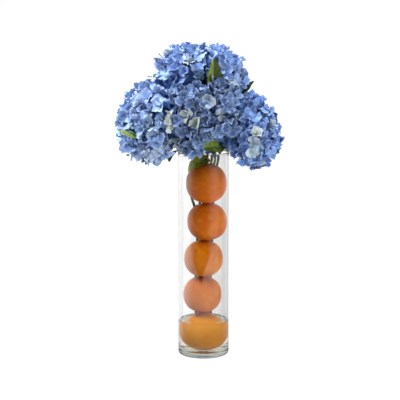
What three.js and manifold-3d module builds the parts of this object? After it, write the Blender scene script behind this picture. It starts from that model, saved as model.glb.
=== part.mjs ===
// Blue mophead hydrangeas in a tall clear glass cylinder that also holds five stacked oranges and some water.
// Millimetres, +Z up. The origin is the centre of the vase's flat underside, and -Y is the front.
//
// Each flower head is a small round core with four-petalled florets standing out of it on thin stalks.
// Each green stem carries its own leaves, runs down behind the oranges and is a separate solid.

import * as THREE from "three";
import { mergeVertices } from "three/addons/utils/BufferGeometryUtils.js";
import Module from "manifold-3d";

const wasm = await Module();
wasm.setup();

// ---------------------------------------------------------------- driving dimensions

const VASE = { radius: 50.8, height: 406.4, wall: 3, base: 9, heel: 2.5, lip: 1.5 };
const VASE_SIDES = 40;
const WATER_LEVEL = 69.5;
const CLEARANCE = 0.35; // between solids that touch on the real thing
const STEM_SIDES = 6;
const STEM_STEPS = 15;

// Oranges from the bottom up: half-sizes across, front to back and upright, how far each one leans from the
// vase's axis, and how its stalk end is turned away from the top.
const ORANGES = [
  { half: [39.3, 38.3, 37], lean: [1, -3], turn: [-0.45, 0.2] },
  { half: [38.4, 37.8, 36.7], lean: [-2.1, 0.5], turn: [-0.3, 0.5] },
  { half: [38.8, 38.2, 36.7], lean: [0.1, -2.5], turn: [-0.6, -0.35] },
  { half: [39.9, 38.6, 37.4], lean: [7.2, -1.5], turn: [-0.45, -0.3] },
  { half: [40.2, 38.8, 39.4], lean: [5.4, -5.5], turn: [-0.3, 0.4] },
];
const FULLNESS = 2.2; // 2 is an ellipsoid, and more is flatter on top and fuller at the shoulders

// Flower heads: centre, the way the crown faces, radius along that way, and radius across it.
// No floret has its middle in a head's bare ball, where a leaf lies over the head.
const HEADS = {
  top_left: { centre: [-36, 4, 561], faces: [-0.3, -0.15, 1], reach: 63, girth: 64, seed: 11 },
  top_right: { centre: [27, 12, 557], faces: [0.3, -0.05, 1], reach: 62, girth: 60, seed: 23 },
  left: { centre: [-96, -10, 463], faces: [-1, -0.25, 0.6], reach: 75, girth: 80, seed: 37 },
  right: { centre: [87, -10, 451], faces: [1, -0.25, 0.7], reach: 65, girth: 79, seed: 41 },
  front: {
    centre: [1, -62, 474],
    faces: [0.1, -1, 0.3],
    reach: 64,
    girth: 73,
    seed: 53,
    bare: { centre: [30, -84, 412], radius: 30 },
  },
  back: { centre: [-6, 66, 470], faces: [-0.05, 1, 0.35], reach: 66, girth: 73, seed: 67 },
};

const FLORET = { radius: 22, spacing: 39.5, stalk: 1.7, dish: 3.2, lift: 3.5, tilt: 0.3 };
const FLORETS_DOWN_TO = THREE.MathUtils.degToRad(128); // polar angle from the crown where the florets end
const CORE_SHARE = 0.66; // core radius as a share of the head's radius
const HEAD_GAP = 0.45; // from a head to the plane between it and the next
const SQUEEZE_ZONE = 11; // petals bend clear of a neighbour within this distance of that plane

// Stems: the points each one passes, from its cut end up into its head.
const STEMS = {
  top_left: {
    radius: 2.9,
    path: [
      [-3.1, 44.3, 16], [-3.1, 44.3, 180], [0.2, 44.2, 233], [0.2, 44, 290], [0.5, 42, 340], [8, 31, 388],
      [4, 20, 430], [-12, 10, 475], [-28, 6, 515], [-38, 4, 545],
    ],
  },
  top_right: {
    radius: 2.9,
    path: [
      [3.1, 44.3, 18], [3.1, 44.3, 180], [6.4, 43.9, 233], [6.5, 42.5, 340], [12, 38.5, 366], [17, 34, 388],
      [23, 24, 430], [29, 17, 480], [33, 13, 520], [35.5, 12, 542],
    ],
  },
  left: {
    radius: 2.9,
    path: [
      [-15.3, 41.7, 24], [-15.3, 41.7, 180], [-12.1, 42.7, 233], [-14, 42, 262], [-18.5, 40, 292],
      [-23.5, 37.6, 308], [-27, 35, 330], [-25.5, 32, 360], [-21, 28, 394], [-32, 12, 428],
      [-58, -2, 446], [-84, -8, 454],
    ],
  },
  right: {
    radius: 2.9,
    path: [
      [15.3, 41.7, 28], [15.3, 41.7, 180], [18.3, 40.4, 233], [21.5, 37.8, 337], [26, 34, 366],
      [30.5, 28, 390], [37.5, 16, 418], [54, 2, 434], [78, -8, 441],
    ],
  },
  front: {
    radius: 2.9,
    path: [
      [9.3, 43.4, 26], [9.3, 43.4, 180], [12.5, 42.6, 233], [13, 38.7, 338], [16, 36.4, 351],
      [19, 33.5, 366], [23.5, 25.5, 390], [20, 0, 421], [14, -25, 444], [9.5, -48, 464],
    ],
  },
  back: {
    radius: 2.9,
    path: [
      [-9.3, 43.4, 22], [-9.3, 43.4, 180], [-6, 44, 233], [-8.5, 42.6, 345], [-8, 41, 396],
      [-7.5, 47, 432], [-6.5, 58, 456],
    ],
  },
};

// Leaves: the stem that bears it, the midrib's points (the first on the stem), blade width,
// share of the midrib that is bare stalk, how far the halves fold up, and where the upper face looks.
const LEAVES = [
  {
    stem: "top_right",
    rib: [[29, 17, 480], [20, -22, 510], [13.5, -51, 528], [17, -65, 556], [19.5, -64, 593]],
    width: 46,
    stalk: 0.46,
    fold: 0.34,
    up: [0.7, -0.7, 0.3],
  },
  {
    stem: "top_right",
    rib: [[32, 14, 512], [58, 14, 516], [84, 12, 528], [99, 9, 545]],
    width: 30,
    stalk: 0.5,
    fold: 0.3,
    up: [-0.6, -0.6, 1],
  },
  {
    stem: "front",
    rib: [[22.5, 14, 406], [27, -24, 415], [31, -48, 421], [18, -61, 424], [-5, -64, 418]],
    width: 34,
    stalk: 0.56,
    fold: 0.25,
    up: [0, -1, 0.6],
  },
  {
    stem: "front",
    rib: [[20.5, 4, 417], [4, -28, 413], [-1, -48, 414.5], [-4, -61, 424], [-5, -66, 435]],
    width: 24,
    stalk: 0.5,
    fold: 0.35,
    up: [-0.25, 0.5, 1],
  },
  {
    stem: "right",
    rib: [[37.5, 16, 418], [52, -40, 436], [50, -84, 446], [40, -112, 468]],
    width: 16,
    stalk: 0.6,
    fold: 0.3,
    up: [0.5, 0.2, 1],
  },
  {
    stem: "right",
    rib: [[36.5, 18, 415], [45, -4, 414], [52, -26, 415], [60, -46, 424]],
    width: 24,
    stalk: 0.4,
    fold: 0.35,
    up: [0.2, 0.3, 1],
  },
  {
    stem: "front",
    rib: [[20.5, 31, 374], [12, 14, 389], [-3, -6, 390], [-18, -18, 382], [-30, -24, 370]],
    width: 34,
    stalk: 0.34,
    fold: 0.2,
    up: [-0.1, -0.7, 0.7],
  },
  {
    stem: "left",
    rib: [[-32, 12, 428], [-50, -18, 412], [-60, -34, 404], [-66, -50, 392]],
    width: 26,
    stalk: 0.5,
    fold: 0.3,
    up: [-0.7, -0.5, 0.7],
  },
  {
    stem: "left",
    rib: [[-58, -2, 446], [-98, -48, 440], [-134, -72, 442], [-163, -78, 456]],
    width: 22,
    stalk: 0.6,
    fold: 0.4,
    up: [0.1, -0.35, 1],
  },
  {
    stem: "back",
    rib: [[-7.5, 47, 432], [-20, 56, 418], [-34, 72, 408], [-46, 88, 388]],
    width: 50,
    stalk: 0.3,
    fold: 0.28,
    up: [-0.2, 0.6, 1],
  },
  {
    stem: "back",
    rib: [[-7.8, 43, 418], [14, 54, 415], [34, 68, 412], [52, 80, 396]],
    width: 44,
    stalk: 0.3,
    fold: 0.3,
    up: [0.3, 0.6, 1],
  },
  {
    stem: "top_left",
    rib: [[-12, 10, 475], [-8, 40, 512], [-4, 62, 536], [-2, 74, 562], [0, 74, 590]],
    width: 44,
    stalk: 0.5,
    fold: 0.34,
    up: [0, 1, 0.4],
  },
];
const LEAF = { stations: 8, thickness: 0.9, toothDepth: 0.13, stalkRadius: 1.5 };

const COLOURS = {
  petal: [0x6f93d2, 0.75],
  stem: [0x5b6b32, 0.6],
  orange: [0xe08022, 0.5],
  glass: [0xe8f0ee, 0.05],
  water: [0xeaf4f6, 0.03],
};

// ---------------------------------------------------------------- small helpers

const vec = (xyz) => new THREE.Vector3(...xyz);
const GOLDEN_ANGLE = Math.PI * (3 - Math.sqrt(5));

// A seeded generator of numbers from 0 to 1 (mulberry32).
function seeded(seed) {
  let state = seed;
  return () => {
    state = (state + 0x6d2b79f5) | 0;
    let t = Math.imul(state ^ (state >>> 15), 1 | state);
    t = (t + Math.imul(t ^ (t >>> 7), 61 | t)) ^ t;
    return ((t ^ (t >>> 14)) >>> 0) / 4294967296;
  };
}

// A closed geometry as a solid that can be joined and cut.
function solidOf(geometry) {
  const bare = geometry.clone();
  bare.deleteAttribute("normal");
  bare.deleteAttribute("uv");
  const merged = mergeVertices(bare, 1e-4);
  const corners = [];
  const index = merged.index.array;
  for (let i = 0; i < index.length; i += 3) {
    const [a, b, c] = [index[i], index[i + 1], index[i + 2]];
    if (a !== b && b !== c && c !== a) corners.push(a, b, c);
  }
  const vertProperties = new Float32Array(merged.attributes.position.array);
  return new wasm.Manifold(new wasm.Mesh({ numProp: 3, vertProperties, triVerts: new Uint32Array(corners) }));
}

// A solid's surface as a geometry.
function geometryOf(solid) {
  const mesh = solid.getMesh();
  const positions = new Float32Array(mesh.numVert * 3);
  for (let i = 0; i < mesh.numVert; i++) {
    for (let k = 0; k < 3; k++) positions[3 * i + k] = mesh.vertProperties[i * mesh.numProp + k];
  }
  const geometry = new THREE.BufferGeometry();
  geometry.setAttribute("position", new THREE.BufferAttribute(positions, 3));
  geometry.setIndex(new THREE.BufferAttribute(new Uint32Array(mesh.triVerts), 1));
  geometry.computeVertexNormals();
  return geometry;
}

const unionOf = (solids) => solids.reduce((whole, solid) => whole.add(solid));
const cut = (solid, cutters) => cutters.reduce((left, cutter) => left.subtract(cutter), solid);

// The largest connected body of a solid, without the scraps that a cut leaves.
function largestBody(solid) {
  const bodies = solid.decompose();
  return bodies.reduce((best, body) => (body.volume() > best.volume() ? body : best));
}

// A geometry from a list of points and a list of triangles.
function facets(points, triangles) {
  const geometry = new THREE.BufferGeometry();
  const numbers = points.flatMap((p) => [p.x, p.y, p.z]);
  geometry.setAttribute("position", new THREE.Float32BufferAttribute(numbers, 3));
  geometry.setIndex(triangles.flat());
  return geometry;
}

// A thin closed blade: top(i, j) on a grid of rows by columns, and the same grid moved down by thickness.
// Both faces are split into triangles alike, so a waved blade never cuts through itself.
function blade(rows, columns, top, down) {
  const points = [];
  for (const layer of [0, 1]) {
    for (let i = 0; i < rows; i++) {
      for (let j = 0; j < columns; j++) points.push(layer ? top(i, j).add(down(i, j)) : top(i, j));
    }
  }
  const at = (layer, i, j) => layer * rows * columns + i * columns + j;
  const triangles = [];
  const quad = (a, b, c, d) => triangles.push([a, b, c], [a, c, d]);
  for (let i = 0; i < rows - 1; i++) {
    for (let j = 0; j < columns - 1; j++) {
      quad(at(0, i, j), at(0, i, j + 1), at(0, i + 1, j + 1), at(0, i + 1, j));
      triangles.push([at(1, i, j), at(1, i + 1, j + 1), at(1, i, j + 1)]);
      triangles.push([at(1, i, j), at(1, i + 1, j), at(1, i + 1, j + 1)]);
    }
  }
  const rim = [];
  for (let j = 0; j < columns - 1; j++) rim.push([0, j]);
  for (let i = 0; i < rows - 1; i++) rim.push([i, columns - 1]);
  for (let j = columns - 1; j > 0; j--) rim.push([rows - 1, j]);
  for (let i = rows - 1; i > 0; i--) rim.push([i, 0]);
  rim.forEach(([i, j], k) => {
    const [i2, j2] = rim[(k + 1) % rim.length];
    quad(at(0, i, j), at(1, i, j), at(1, i2, j2), at(0, i2, j2));
  });
  return facets(points, triangles);
}

// ---------------------------------------------------------------- vase, water and oranges

const innerRadius = VASE.radius - VASE.wall;

// A profile of [radius, height] pairs turned about the vase's axis.
function turned(profile) {
  const points = profile.map(([r, z]) => new THREE.Vector2(r, z));
  return new THREE.LatheGeometry(points, VASE_SIDES).rotateX(Math.PI / 2);
}

// A straight cylinder with a thick flat base, a rounded heel and a rounded lip, as one closed profile.
function vaseGeometry() {
  const { radius, height, base, heel, lip } = VASE;
  const profile = [
    [0, 0],
    [radius - heel, 0],
    [radius - heel * 0.3, heel * 0.3],
    [radius, heel],
    [radius, height - lip],
    [radius - lip * 0.3, height - lip * 0.3],
    [radius - lip, height],
    [radius - VASE.wall + lip * 0.3, height - lip * 0.3],
    [innerRadius, height - lip],
    [innerRadius, base + heel],
    [innerRadius - heel * 0.3, base + heel * 0.3],
    [innerRadius - heel, base],
    [0, base],
  ];
  return turned(profile);
}

// Where each orange's centre is: it leans to its side and rests on the shoulder of the one under it.
function stackedCentres() {
  const centres = [];
  ORANGES.forEach(({ half, lean: [x, y] }, i) => {
    if (i === 0) {
      centres.push(new THREE.Vector3(x, y, VASE.base + CLEARANCE + half[2]));
      return;
    }
    const below = ORANGES[i - 1];
    const across = (x - below.lean[0]) / (half[0] + below.half[0]);
    const depth = (y - below.lean[1]) / (half[1] + below.half[1]);
    const height = (1 - Math.hypot(across, depth) ** FULLNESS) ** (1 / FULLNESS);
    const rise = (half[2] + below.half[2]) * height + CLEARANCE;
    centres.push(new THREE.Vector3(x, y, centres[i - 1].z + rise));
  });
  return centres;
}

const orangeCentres = stackedCentres();

// How far a fruit's skin is from its centre in a direction.
function fruitReach(direction, [across, depth, upright]) {
  const d = direction.clone().normalize();
  const level = Math.hypot(d.x / across, d.y / depth) ** FULLNESS;
  return (level + Math.abs(d.z / upright) ** FULLNESS) ** (-1 / FULLNESS);
}

// Turns what is built with its stalk end down, so that the end points up and leans as the fruit lies.
const turnStalkUp = (geometry, [tiltX, tiltY]) => geometry.rotateX(Math.PI + tiltX).rotateY(tiltY);

// A full fruit, flattened upright, with a dimple at the stalk end and a shallow scar at the other.
function orangeGeometry({ half, turn }, grow = 0) {
  const rows = 9;
  const profile = [];
  for (let i = 0; i <= rows; i++) {
    const polar = (Math.PI * i) / rows;
    profile.push(new THREE.Vector2(Math.sin(polar), -Math.cos(polar)));
  }
  const ball = turnStalkUp(new THREE.LatheGeometry(profile, 17).rotateX(Math.PI / 2), turn);
  const stalkEnd = stalkDirection(turn);
  const position = ball.attributes.position;
  for (let i = 0; i < position.count; i++) {
    const p = new THREE.Vector3().fromBufferAttribute(position, i);
    const polar = p.angleTo(stalkEnd);
    const dimple = 1.6 * Math.exp(-((polar / 0.22) ** 2)) + 0.8 * Math.exp(-(((Math.PI - polar) / 0.2) ** 2));
    p.setLength(fruitReach(p, half) + grow - dimple);
    position.setXYZ(i, p.x, p.y, p.z);
  }
  return ball;
}

function stalkDirection([tiltX, tiltY]) {
  const turnX = new THREE.Matrix4().makeRotationX(Math.PI + tiltX);
  return new THREE.Vector3(0, 0, -1).applyMatrix4(turnX.premultiply(new THREE.Matrix4().makeRotationY(tiltY)));
}

// The raised five-lobed button in the dimple.
function buttonGeometry({ half, turn }) {
  const outline = new THREE.Shape();
  for (let k = 0; k < 10; k++) {
    const angle = (k * Math.PI) / 5;
    const r = k % 2 ? 2.4 : 4.6;
    const [x, y] = [r * Math.cos(angle), r * Math.sin(angle)];
    if (k) outline.lineTo(x, y);
    else outline.moveTo(x, y);
  }
  const button = new THREE.ExtrudeGeometry(outline, { depth: 4, bevelEnabled: false });
  return turnStalkUp(button.translate(0, 0, -fruitReach(stalkDirection(turn), half) + 0.4), turn);
}

function orangeSolid(orange, centre) {
  const fruit = solidOf(orangeGeometry(orange)).add(solidOf(buttonGeometry(orange)));
  return solidOf(geometryOf(fruit).translate(centre.x, centre.y, centre.z));
}

// The water: a plain cylinder up to the water level, cut round what stands in it.
function waterSolid(cutters) {
  const radius = innerRadius - CLEARANCE;
  const heel = VASE.heel + CLEARANCE;
  const floor = VASE.base + CLEARANCE;
  const profile = [
    [0, floor],
    [radius - heel, floor],
    [radius - heel * 0.3, floor + heel * 0.3],
    [radius, floor + heel],
    [radius, WATER_LEVEL + 1.2],
    [radius - 1.6, WATER_LEVEL],
    [0, WATER_LEVEL],
  ];
  return largestBody(cut(solidOf(turned(profile)), cutters));
}

// ---------------------------------------------------------------- stems and leaves

// A six-sided green tube along a smooth curve through the points.
function stemTube(points, radius, steps) {
  const curve = new THREE.CatmullRomCurve3(points.map(vec), false, "centripetal");
  const outline = new THREE.Shape();
  for (let k = 0; k < STEM_SIDES; k++) {
    const angle = (2 * Math.PI * k) / STEM_SIDES;
    const [x, y] = [radius * Math.cos(angle), radius * Math.sin(angle)];
    if (k) outline.lineTo(x, y);
    else outline.moveTo(x, y);
  }
  return new THREE.ExtrudeGeometry(outline, { steps, bevelEnabled: false, extrudePath: curve });
}

// The share of half the width along the blade: narrow at the stalk, widest a third up, with a pointed tip.
const leafHalfWidth = (share) => Math.sin(Math.PI * share ** 0.72) ** 0.85;

// Keeps a point of a leaf outside a fruit, at least gap from its skin.
function clearOfFruit(point, centre, half, gap) {
  const away = point.clone().sub(centre);
  const reach = fruitReach(away, half) + gap;
  if (away.length() < reach) point.copy(centre).add(away.setLength(reach));
  return point;
}

// A pointed blade with toothed edges, folded up on both sides of its midrib.
function leafGeometry(leaf, grow) {
  const curve = new THREE.CatmullRomCurve3(leaf.rib.map(vec), false, "centripetal");
  const up = vec(leaf.up).normalize();
  const rows = LEAF.stations + 1;
  const thickness = LEAF.thickness + 2 * grow;
  const frames = [];
  for (let i = 0; i < rows; i++) {
    const share = i / LEAF.stations;
    const along = leaf.stalk + (1 - leaf.stalk) * share;
    const tangent = curve.getTangentAt(along);
    const side = new THREE.Vector3().crossVectors(tangent, up).normalize();
    const normal = new THREE.Vector3().crossVectors(side, tangent).normalize();
    const tooth = i % 2 ? 1 : 1 - LEAF.toothDepth;
    const half = Math.max((leaf.width / 2) * leafHalfWidth(share) * tooth, 0.8) + grow;
    frames.push({ rib: curve.getPointAt(along), side, normal, half });
  }
  const [lift, slant] = [Math.sin(leaf.fold), Math.cos(leaf.fold)];
  const topCentre = orangeCentres[orangeCentres.length - 1];
  const topHalf = ORANGES[ORANGES.length - 1].half;
  const top = (i, j) => {
    const { rib, side, normal, half } = frames[i];
    const out = j - 1;
    const point = rib.clone().addScaledVector(side, out * half * slant);
    point.addScaledVector(normal, Math.abs(out) * half * lift + thickness / 2);
    return clearOfFruit(point, topCentre, topHalf, 1.2 + thickness);
  };
  const down = (i) => frames[i].normal.clone().multiplyScalar(-thickness);
  return blade(rows, 3, top, down);
}

// One stem with its leaves, as one green solid. grow makes it fatter all round, to cut room in a neighbour.
function stemSolid(name, grow = 0) {
  const { radius, path } = STEMS[name];
  const pieces = [solidOf(stemTube(path, radius + grow, STEM_STEPS))];
  for (const leaf of LEAVES.filter((l) => l.stem === name)) {
    const curve = new THREE.CatmullRomCurve3(leaf.rib.map(vec), false, "centripetal");
    const shares = [0, 0.34, 0.67, 1].map((share) => share * (leaf.stalk + 0.08));
    const stalkPoints = shares.map((share) => curve.getPointAt(share).toArray());
    pieces.push(solidOf(stemTube(stalkPoints, LEAF.stalkRadius + grow, 4)));
    pieces.push(solidOf(leafGeometry(leaf, grow)));
  }
  return largestBody(unionOf(pieces));
}

// ---------------------------------------------------------------- flower heads

// The flat border between two neighbouring heads, where the two balls would meet.
function borderBetween(head, other) {
  const from = vec(head.centre);
  const normal = vec(other.centre).sub(from);
  const apart = normal.length();
  normal.normalize();
  const share = (apart * apart + head.girth ** 2 - other.girth ** 2) / (2 * apart);
  return { normal, offset: normal.dot(from) + share, near: share < Math.max(head.girth, head.reach) + 4 };
}

// Moves a point to its own side of each border. Points far from a border stay, and the rest are pressed
// together smoothly, so that petals bend clear of the next head and never cross each other.
function bendClear(point, borders) {
  const room = SQUEEZE_ZONE - HEAD_GAP;
  for (let pass = 0; pass < 4; pass++) {
    for (const { normal, offset } of borders) {
      const past = normal.dot(point) - offset + SQUEEZE_ZONE;
      const allowed = pass ? Math.min(past, room) : room * (1 - Math.exp(-Math.max(past, 0) / room));
      if (past > 0) point.addScaledVector(normal, allowed - past);
    }
  }
  return point;
}

// One floret, facing +Z with its dished middle at the origin: four broad petals on a thin stalk that ends
// depth below.
function floretPoints(radius, depth, random) {
  const [notch, shoulder, spread] = [0.3, 0.8, 0.46];
  const points = [new THREE.Vector3(0, 0, -FLORET.dish * 0.4)];
  const polar = (r, angle, z) => new THREE.Vector3(r * Math.cos(angle), r * Math.sin(angle), z);
  for (let k = 0; k < 4; k++) {
    const middle = (k * Math.PI) / 2 + 0.16 * (random() - 0.5);
    const size = radius * (0.9 + 0.2 * random());
    const curl = FLORET.dish * (1.6 * random() - 0.5);
    points.push(polar(radius * notch, (k * Math.PI) / 2 - Math.PI / 4, -FLORET.dish * 0.2));
    points.push(polar(size * shoulder, middle - spread, FLORET.dish * (0.3 + 0.9 * random())));
    points.push(polar(size, middle, curl));
    points.push(polar(size * shoulder, middle + spread, FLORET.dish * (0.3 + 0.9 * random())));
  }
  for (let k = 0; k < 4; k++) {
    points.push(polar(FLORET.stalk, (k * Math.PI) / 2 - Math.PI / 4, -FLORET.dish * 0.4 - 2.4));
  }
  points.push(new THREE.Vector3(0, 0, -depth));
  return points;
}

function floretTriangles() {
  const [centre, stalkTop, root] = [0, 17, 21];
  const triangles = [];
  for (let k = 0; k < 4; k++) {
    const [notch, left, tip, right] = [1, 2, 3, 4].map((n) => n + 4 * k);
    const next = 1 + 4 * ((k + 1) % 4);
    const [under, underNext] = [stalkTop + k, stalkTop + ((k + 1) % 4)];
    triangles.push([centre, notch, left], [centre, left, tip], [centre, tip, right], [centre, right, next]);
    triangles.push([under, left, notch], [under, tip, left], [under, underNext, tip]);
    triangles.push([underNext, right, tip], [underNext, next, right]);
    triangles.push([underNext, under, root]);
  }
  return triangles;
}

// A head's core: a ball stretched to the head's shape, pressed clear of its neighbours.
function coreSolid(head, toWorld, borders) {
  const ball = new THREE.IcosahedronGeometry(1, 2);
  const merged = mergeVertices(ball.deleteAttribute("normal").deleteAttribute("uv"), 1e-4);
  const position = merged.attributes.position;
  for (let i = 0; i < position.count; i++) {
    const p = new THREE.Vector3().fromBufferAttribute(position, i).multiplyScalar(CORE_SHARE);
    p.set(p.x * head.girth, p.y * head.girth, p.z * head.reach).applyMatrix4(toWorld);
    bendClear(p, borders);
    position.setXYZ(i, p.x, p.y, p.z);
  }
  return solidOf(merged);
}

function headSolid(name, cutters) {
  const head = HEADS[name];
  const random = seeded(head.seed);
  const others = Object.entries(HEADS).filter(([other]) => other !== name);
  const borders = others.map(([, other]) => borderBetween(head, other)).filter(({ near }) => near);
  const axis = vec(head.faces).normalize();
  const upright = new THREE.Quaternion().setFromUnitVectors(new THREE.Vector3(0, 0, 1), axis);
  const toWorld = new THREE.Matrix4().compose(vec(head.centre), upright, new THREE.Vector3(1, 1, 1));
  const pieces = [coreSolid(head, toWorld, borders)];
  const girthArea = 4 * Math.PI * head.girth * head.reach;
  const wholeBall = Math.round(girthArea / (FLORET.spacing * FLORET.spacing * 0.866));
  for (let i = 0; i < wholeBall; i++) {
    const cosine = 1 - (2 * (i + 0.5)) / wholeBall;
    if (Math.acos(cosine) > FLORETS_DOWN_TO) break;
    const sine = Math.sqrt(1 - cosine * cosine);
    const azimuth = i * GOLDEN_ANGLE;
    const [dx, dy] = [sine * Math.cos(azimuth), sine * Math.sin(azimuth)];
    const layer = FLORET.lift * ((i % 3) - 1);
    const inset = FLORET.dish * 0.6 + FLORET.lift - layer;
    const [across, along] = [head.girth - inset, head.reach - inset];
    const place = new THREE.Vector3(dx * across, dy * across, cosine * along);
    const normal = new THREE.Vector3(dx / head.girth, dy / head.girth, cosine / head.reach).normalize();
    const lean = new THREE.Vector3(random() - 0.5, random() - 0.5, random() - 0.5);
    const size = FLORET.radius * (0.92 + 0.16 * random());
    const spin = random() * Math.PI;
    const facing = normal.clone().addScaledVector(lean, 2 * FLORET.tilt).normalize();
    const turn = new THREE.Quaternion().setFromUnitVectors(new THREE.Vector3(0, 0, 1), facing);
    turn.multiply(new THREE.Quaternion().setFromAxisAngle(new THREE.Vector3(0, 0, 1), spin));
    const depth = (1 - CORE_SHARE) * head.girth + 4;
    const points = floretPoints(size, depth, random);
    const toHead = new THREE.Matrix4().compose(place, turn, new THREE.Vector3(1, 1, 1));
    toHead.premultiply(toWorld);
    const middle = new THREE.Vector3().applyMatrix4(toHead);
    if (head.bare && middle.distanceTo(vec(head.bare.centre)) < head.bare.radius) continue;
    if (borders.some(({ normal: n, offset }) => n.dot(middle) > offset - FLORET.radius * 0.35)) continue;
    points.forEach((p) => bendClear(p.applyMatrix4(toHead), borders));
    pieces.push(solidOf(facets(points, floretTriangles())));
  }
  return largestBody(cut(unionOf(pieces), cutters));
}

// ---------------------------------------------------------------- the whole arrangement

const bouquet = new THREE.Group();
bouquet.name = "hydrangeas_in_a_vase";

function addPiece(name, geometry, [color, roughness], extra = {}) {
  const material = new THREE.MeshStandardMaterial({ color, roughness, metalness: 0, ...extra });
  const mesh = new THREE.Mesh(geometry, material);
  mesh.name = name;
  bouquet.add(mesh);
}

const clear = { transparent: true, opacity: 0.35 };
addPiece("vase", vaseGeometry(), COLOURS.glass, clear);

ORANGES.forEach((orange, i) => {
  addPiece(`orange_${i + 1}`, geometryOf(orangeSolid(orange, orangeCentres[i])), COLOURS.orange);
});

const stemNames = Object.keys(STEMS);
const stemSolids = {};
for (const name of stemNames) {
  const earlier = Object.keys(stemSolids).map((other) => stemSolid(other, CLEARANCE));
  stemSolids[name] = largestBody(cut(stemSolid(name), earlier));
  addPiece(`stem_${name}`, geometryOf(stemSolids[name]), COLOURS.stem);
}

const fatStems = stemNames.map((name) => stemSolid(name, CLEARANCE));
const sunkOranges = ORANGES.slice(0, 2).map((orange, i) =>
  solidOf(orangeGeometry(orange, CLEARANCE).translate(...orangeCentres[i].toArray())),
);
addPiece("water", geometryOf(waterSolid([...sunkOranges, ...fatStems])), COLOURS.water, clear);

const vaseRoom = solidOf(
  new THREE.CylinderGeometry(VASE.radius + CLEARANCE, VASE.radius + CLEARANCE, VASE.height + 1.5, VASE_SIDES)
    .rotateX(Math.PI / 2)
    .translate(0, 0, (VASE.height + 1.5) / 2 - 1 + CLEARANCE),
);
for (const name of Object.keys(HEADS)) {
  addPiece(`head_${name}`, geometryOf(headSolid(name, [vaseRoom, ...fatStems])), COLOURS.petal);
}

export default bouquet;
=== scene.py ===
"""Blue mophead hydrangeas in a tall clear glass cylinder with five stacked oranges and some water.

Shapes are worked out in millimetres and put into meshes in metres. +Z is up, -Y is the front, and the origin
is the centre of the vase's flat underside.
"""

import logging
import math
from dataclasses import dataclass, replace
from enum import Enum

import bpy
import numpy as np
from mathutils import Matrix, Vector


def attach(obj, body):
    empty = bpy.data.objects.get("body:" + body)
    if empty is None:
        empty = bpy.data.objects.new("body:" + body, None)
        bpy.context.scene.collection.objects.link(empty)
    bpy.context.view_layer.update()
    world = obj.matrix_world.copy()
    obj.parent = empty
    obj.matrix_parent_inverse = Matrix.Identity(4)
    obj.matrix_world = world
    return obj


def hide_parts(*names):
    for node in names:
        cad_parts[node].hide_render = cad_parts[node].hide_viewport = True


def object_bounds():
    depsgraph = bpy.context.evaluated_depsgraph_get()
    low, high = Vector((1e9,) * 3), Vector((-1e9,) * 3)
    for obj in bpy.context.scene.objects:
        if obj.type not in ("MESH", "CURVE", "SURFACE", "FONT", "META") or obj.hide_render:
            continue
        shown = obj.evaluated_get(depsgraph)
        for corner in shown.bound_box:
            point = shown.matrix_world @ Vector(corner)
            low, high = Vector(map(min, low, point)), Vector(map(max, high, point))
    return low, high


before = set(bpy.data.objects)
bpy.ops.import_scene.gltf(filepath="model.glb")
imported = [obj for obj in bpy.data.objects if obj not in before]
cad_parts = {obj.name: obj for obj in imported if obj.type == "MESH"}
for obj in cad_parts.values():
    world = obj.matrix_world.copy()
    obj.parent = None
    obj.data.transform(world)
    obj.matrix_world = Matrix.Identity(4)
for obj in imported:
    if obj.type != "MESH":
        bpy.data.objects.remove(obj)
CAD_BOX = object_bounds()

Array = np.ndarray
Point = tuple[float, float, float]
Colour = tuple[float, float, float]
Range = tuple[float, float]
Ramp = tuple[float, float, float, float]
Random = np.random.Generator
Socket = bpy.types.NodeSocket
Material = bpy.types.Material
MM = 0.001
GOLDEN_ANGLE = math.pi * (3 - math.sqrt(5))
ROW_STEP = 0.866
LOG = logging.getLogger("arrangement")


# ---------------------------------------------------------------- arrays and paths


def unit(vectors: Array) -> Array:
    """The same vectors at length one."""
    return vectors / np.maximum(np.linalg.norm(vectors, axis=-1, keepdims=True), 1e-9)


def smoothstep(x: Array) -> Array:
    """0 below 0, 1 above 1, and 3x^2 - 2x^3 between them."""
    x = np.clip(x, 0, 1)
    return x * x * (3 - 2 * x)


def bell(x: Array, width: float) -> Array:
    """One at 0 and less away from it, exp(-(x / width)^2)."""
    return np.exp(-((x / width) ** 2))


def linear(red: float, green: float, blue: float) -> Array:
    """A screen colour of 0 to 255 as scene-linear values of 0 to 1."""
    c = np.array([red, green, blue]) / 255
    return np.where(c <= 0.04045, c / 12.92, ((c + 0.055) / 1.055) ** 2.4)


def blend(a: Array, b: Array, share: Array) -> Array:
    """a where share is 0 and b where it is 1."""
    return a + (b - a) * share


def turned(points: Array, axis: int, angle: float) -> Array:
    """Points turned about an axis through the origin.

    Args:
        points: the points.
        axis: 0 for X, 1 for Y and 2 for Z.
        angle: how far, in radians.

    Returns:
        The turned points.
    """
    i, j = (axis + 1) % 3, (axis + 2) % 3
    turn = np.eye(3)
    turn[i, i] = turn[j, j] = math.cos(angle)
    turn[i, j], turn[j, i] = -math.sin(angle), math.sin(angle)
    return points @ turn.T


def two_across(directions: Array) -> tuple[Array, Array]:
    """Two unit directions square to each given one and to each other.

    Args:
        directions: unit directions, one in each row.

    Returns:
        The first and the second direction for each row.
    """
    helper = np.where(np.abs(directions[:, 2:]) < 0.9, [[0, 0, 1]], [[1, 0, 0]])
    u = unit(np.cross(helper, directions))
    return u, np.cross(directions, u)


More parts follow.
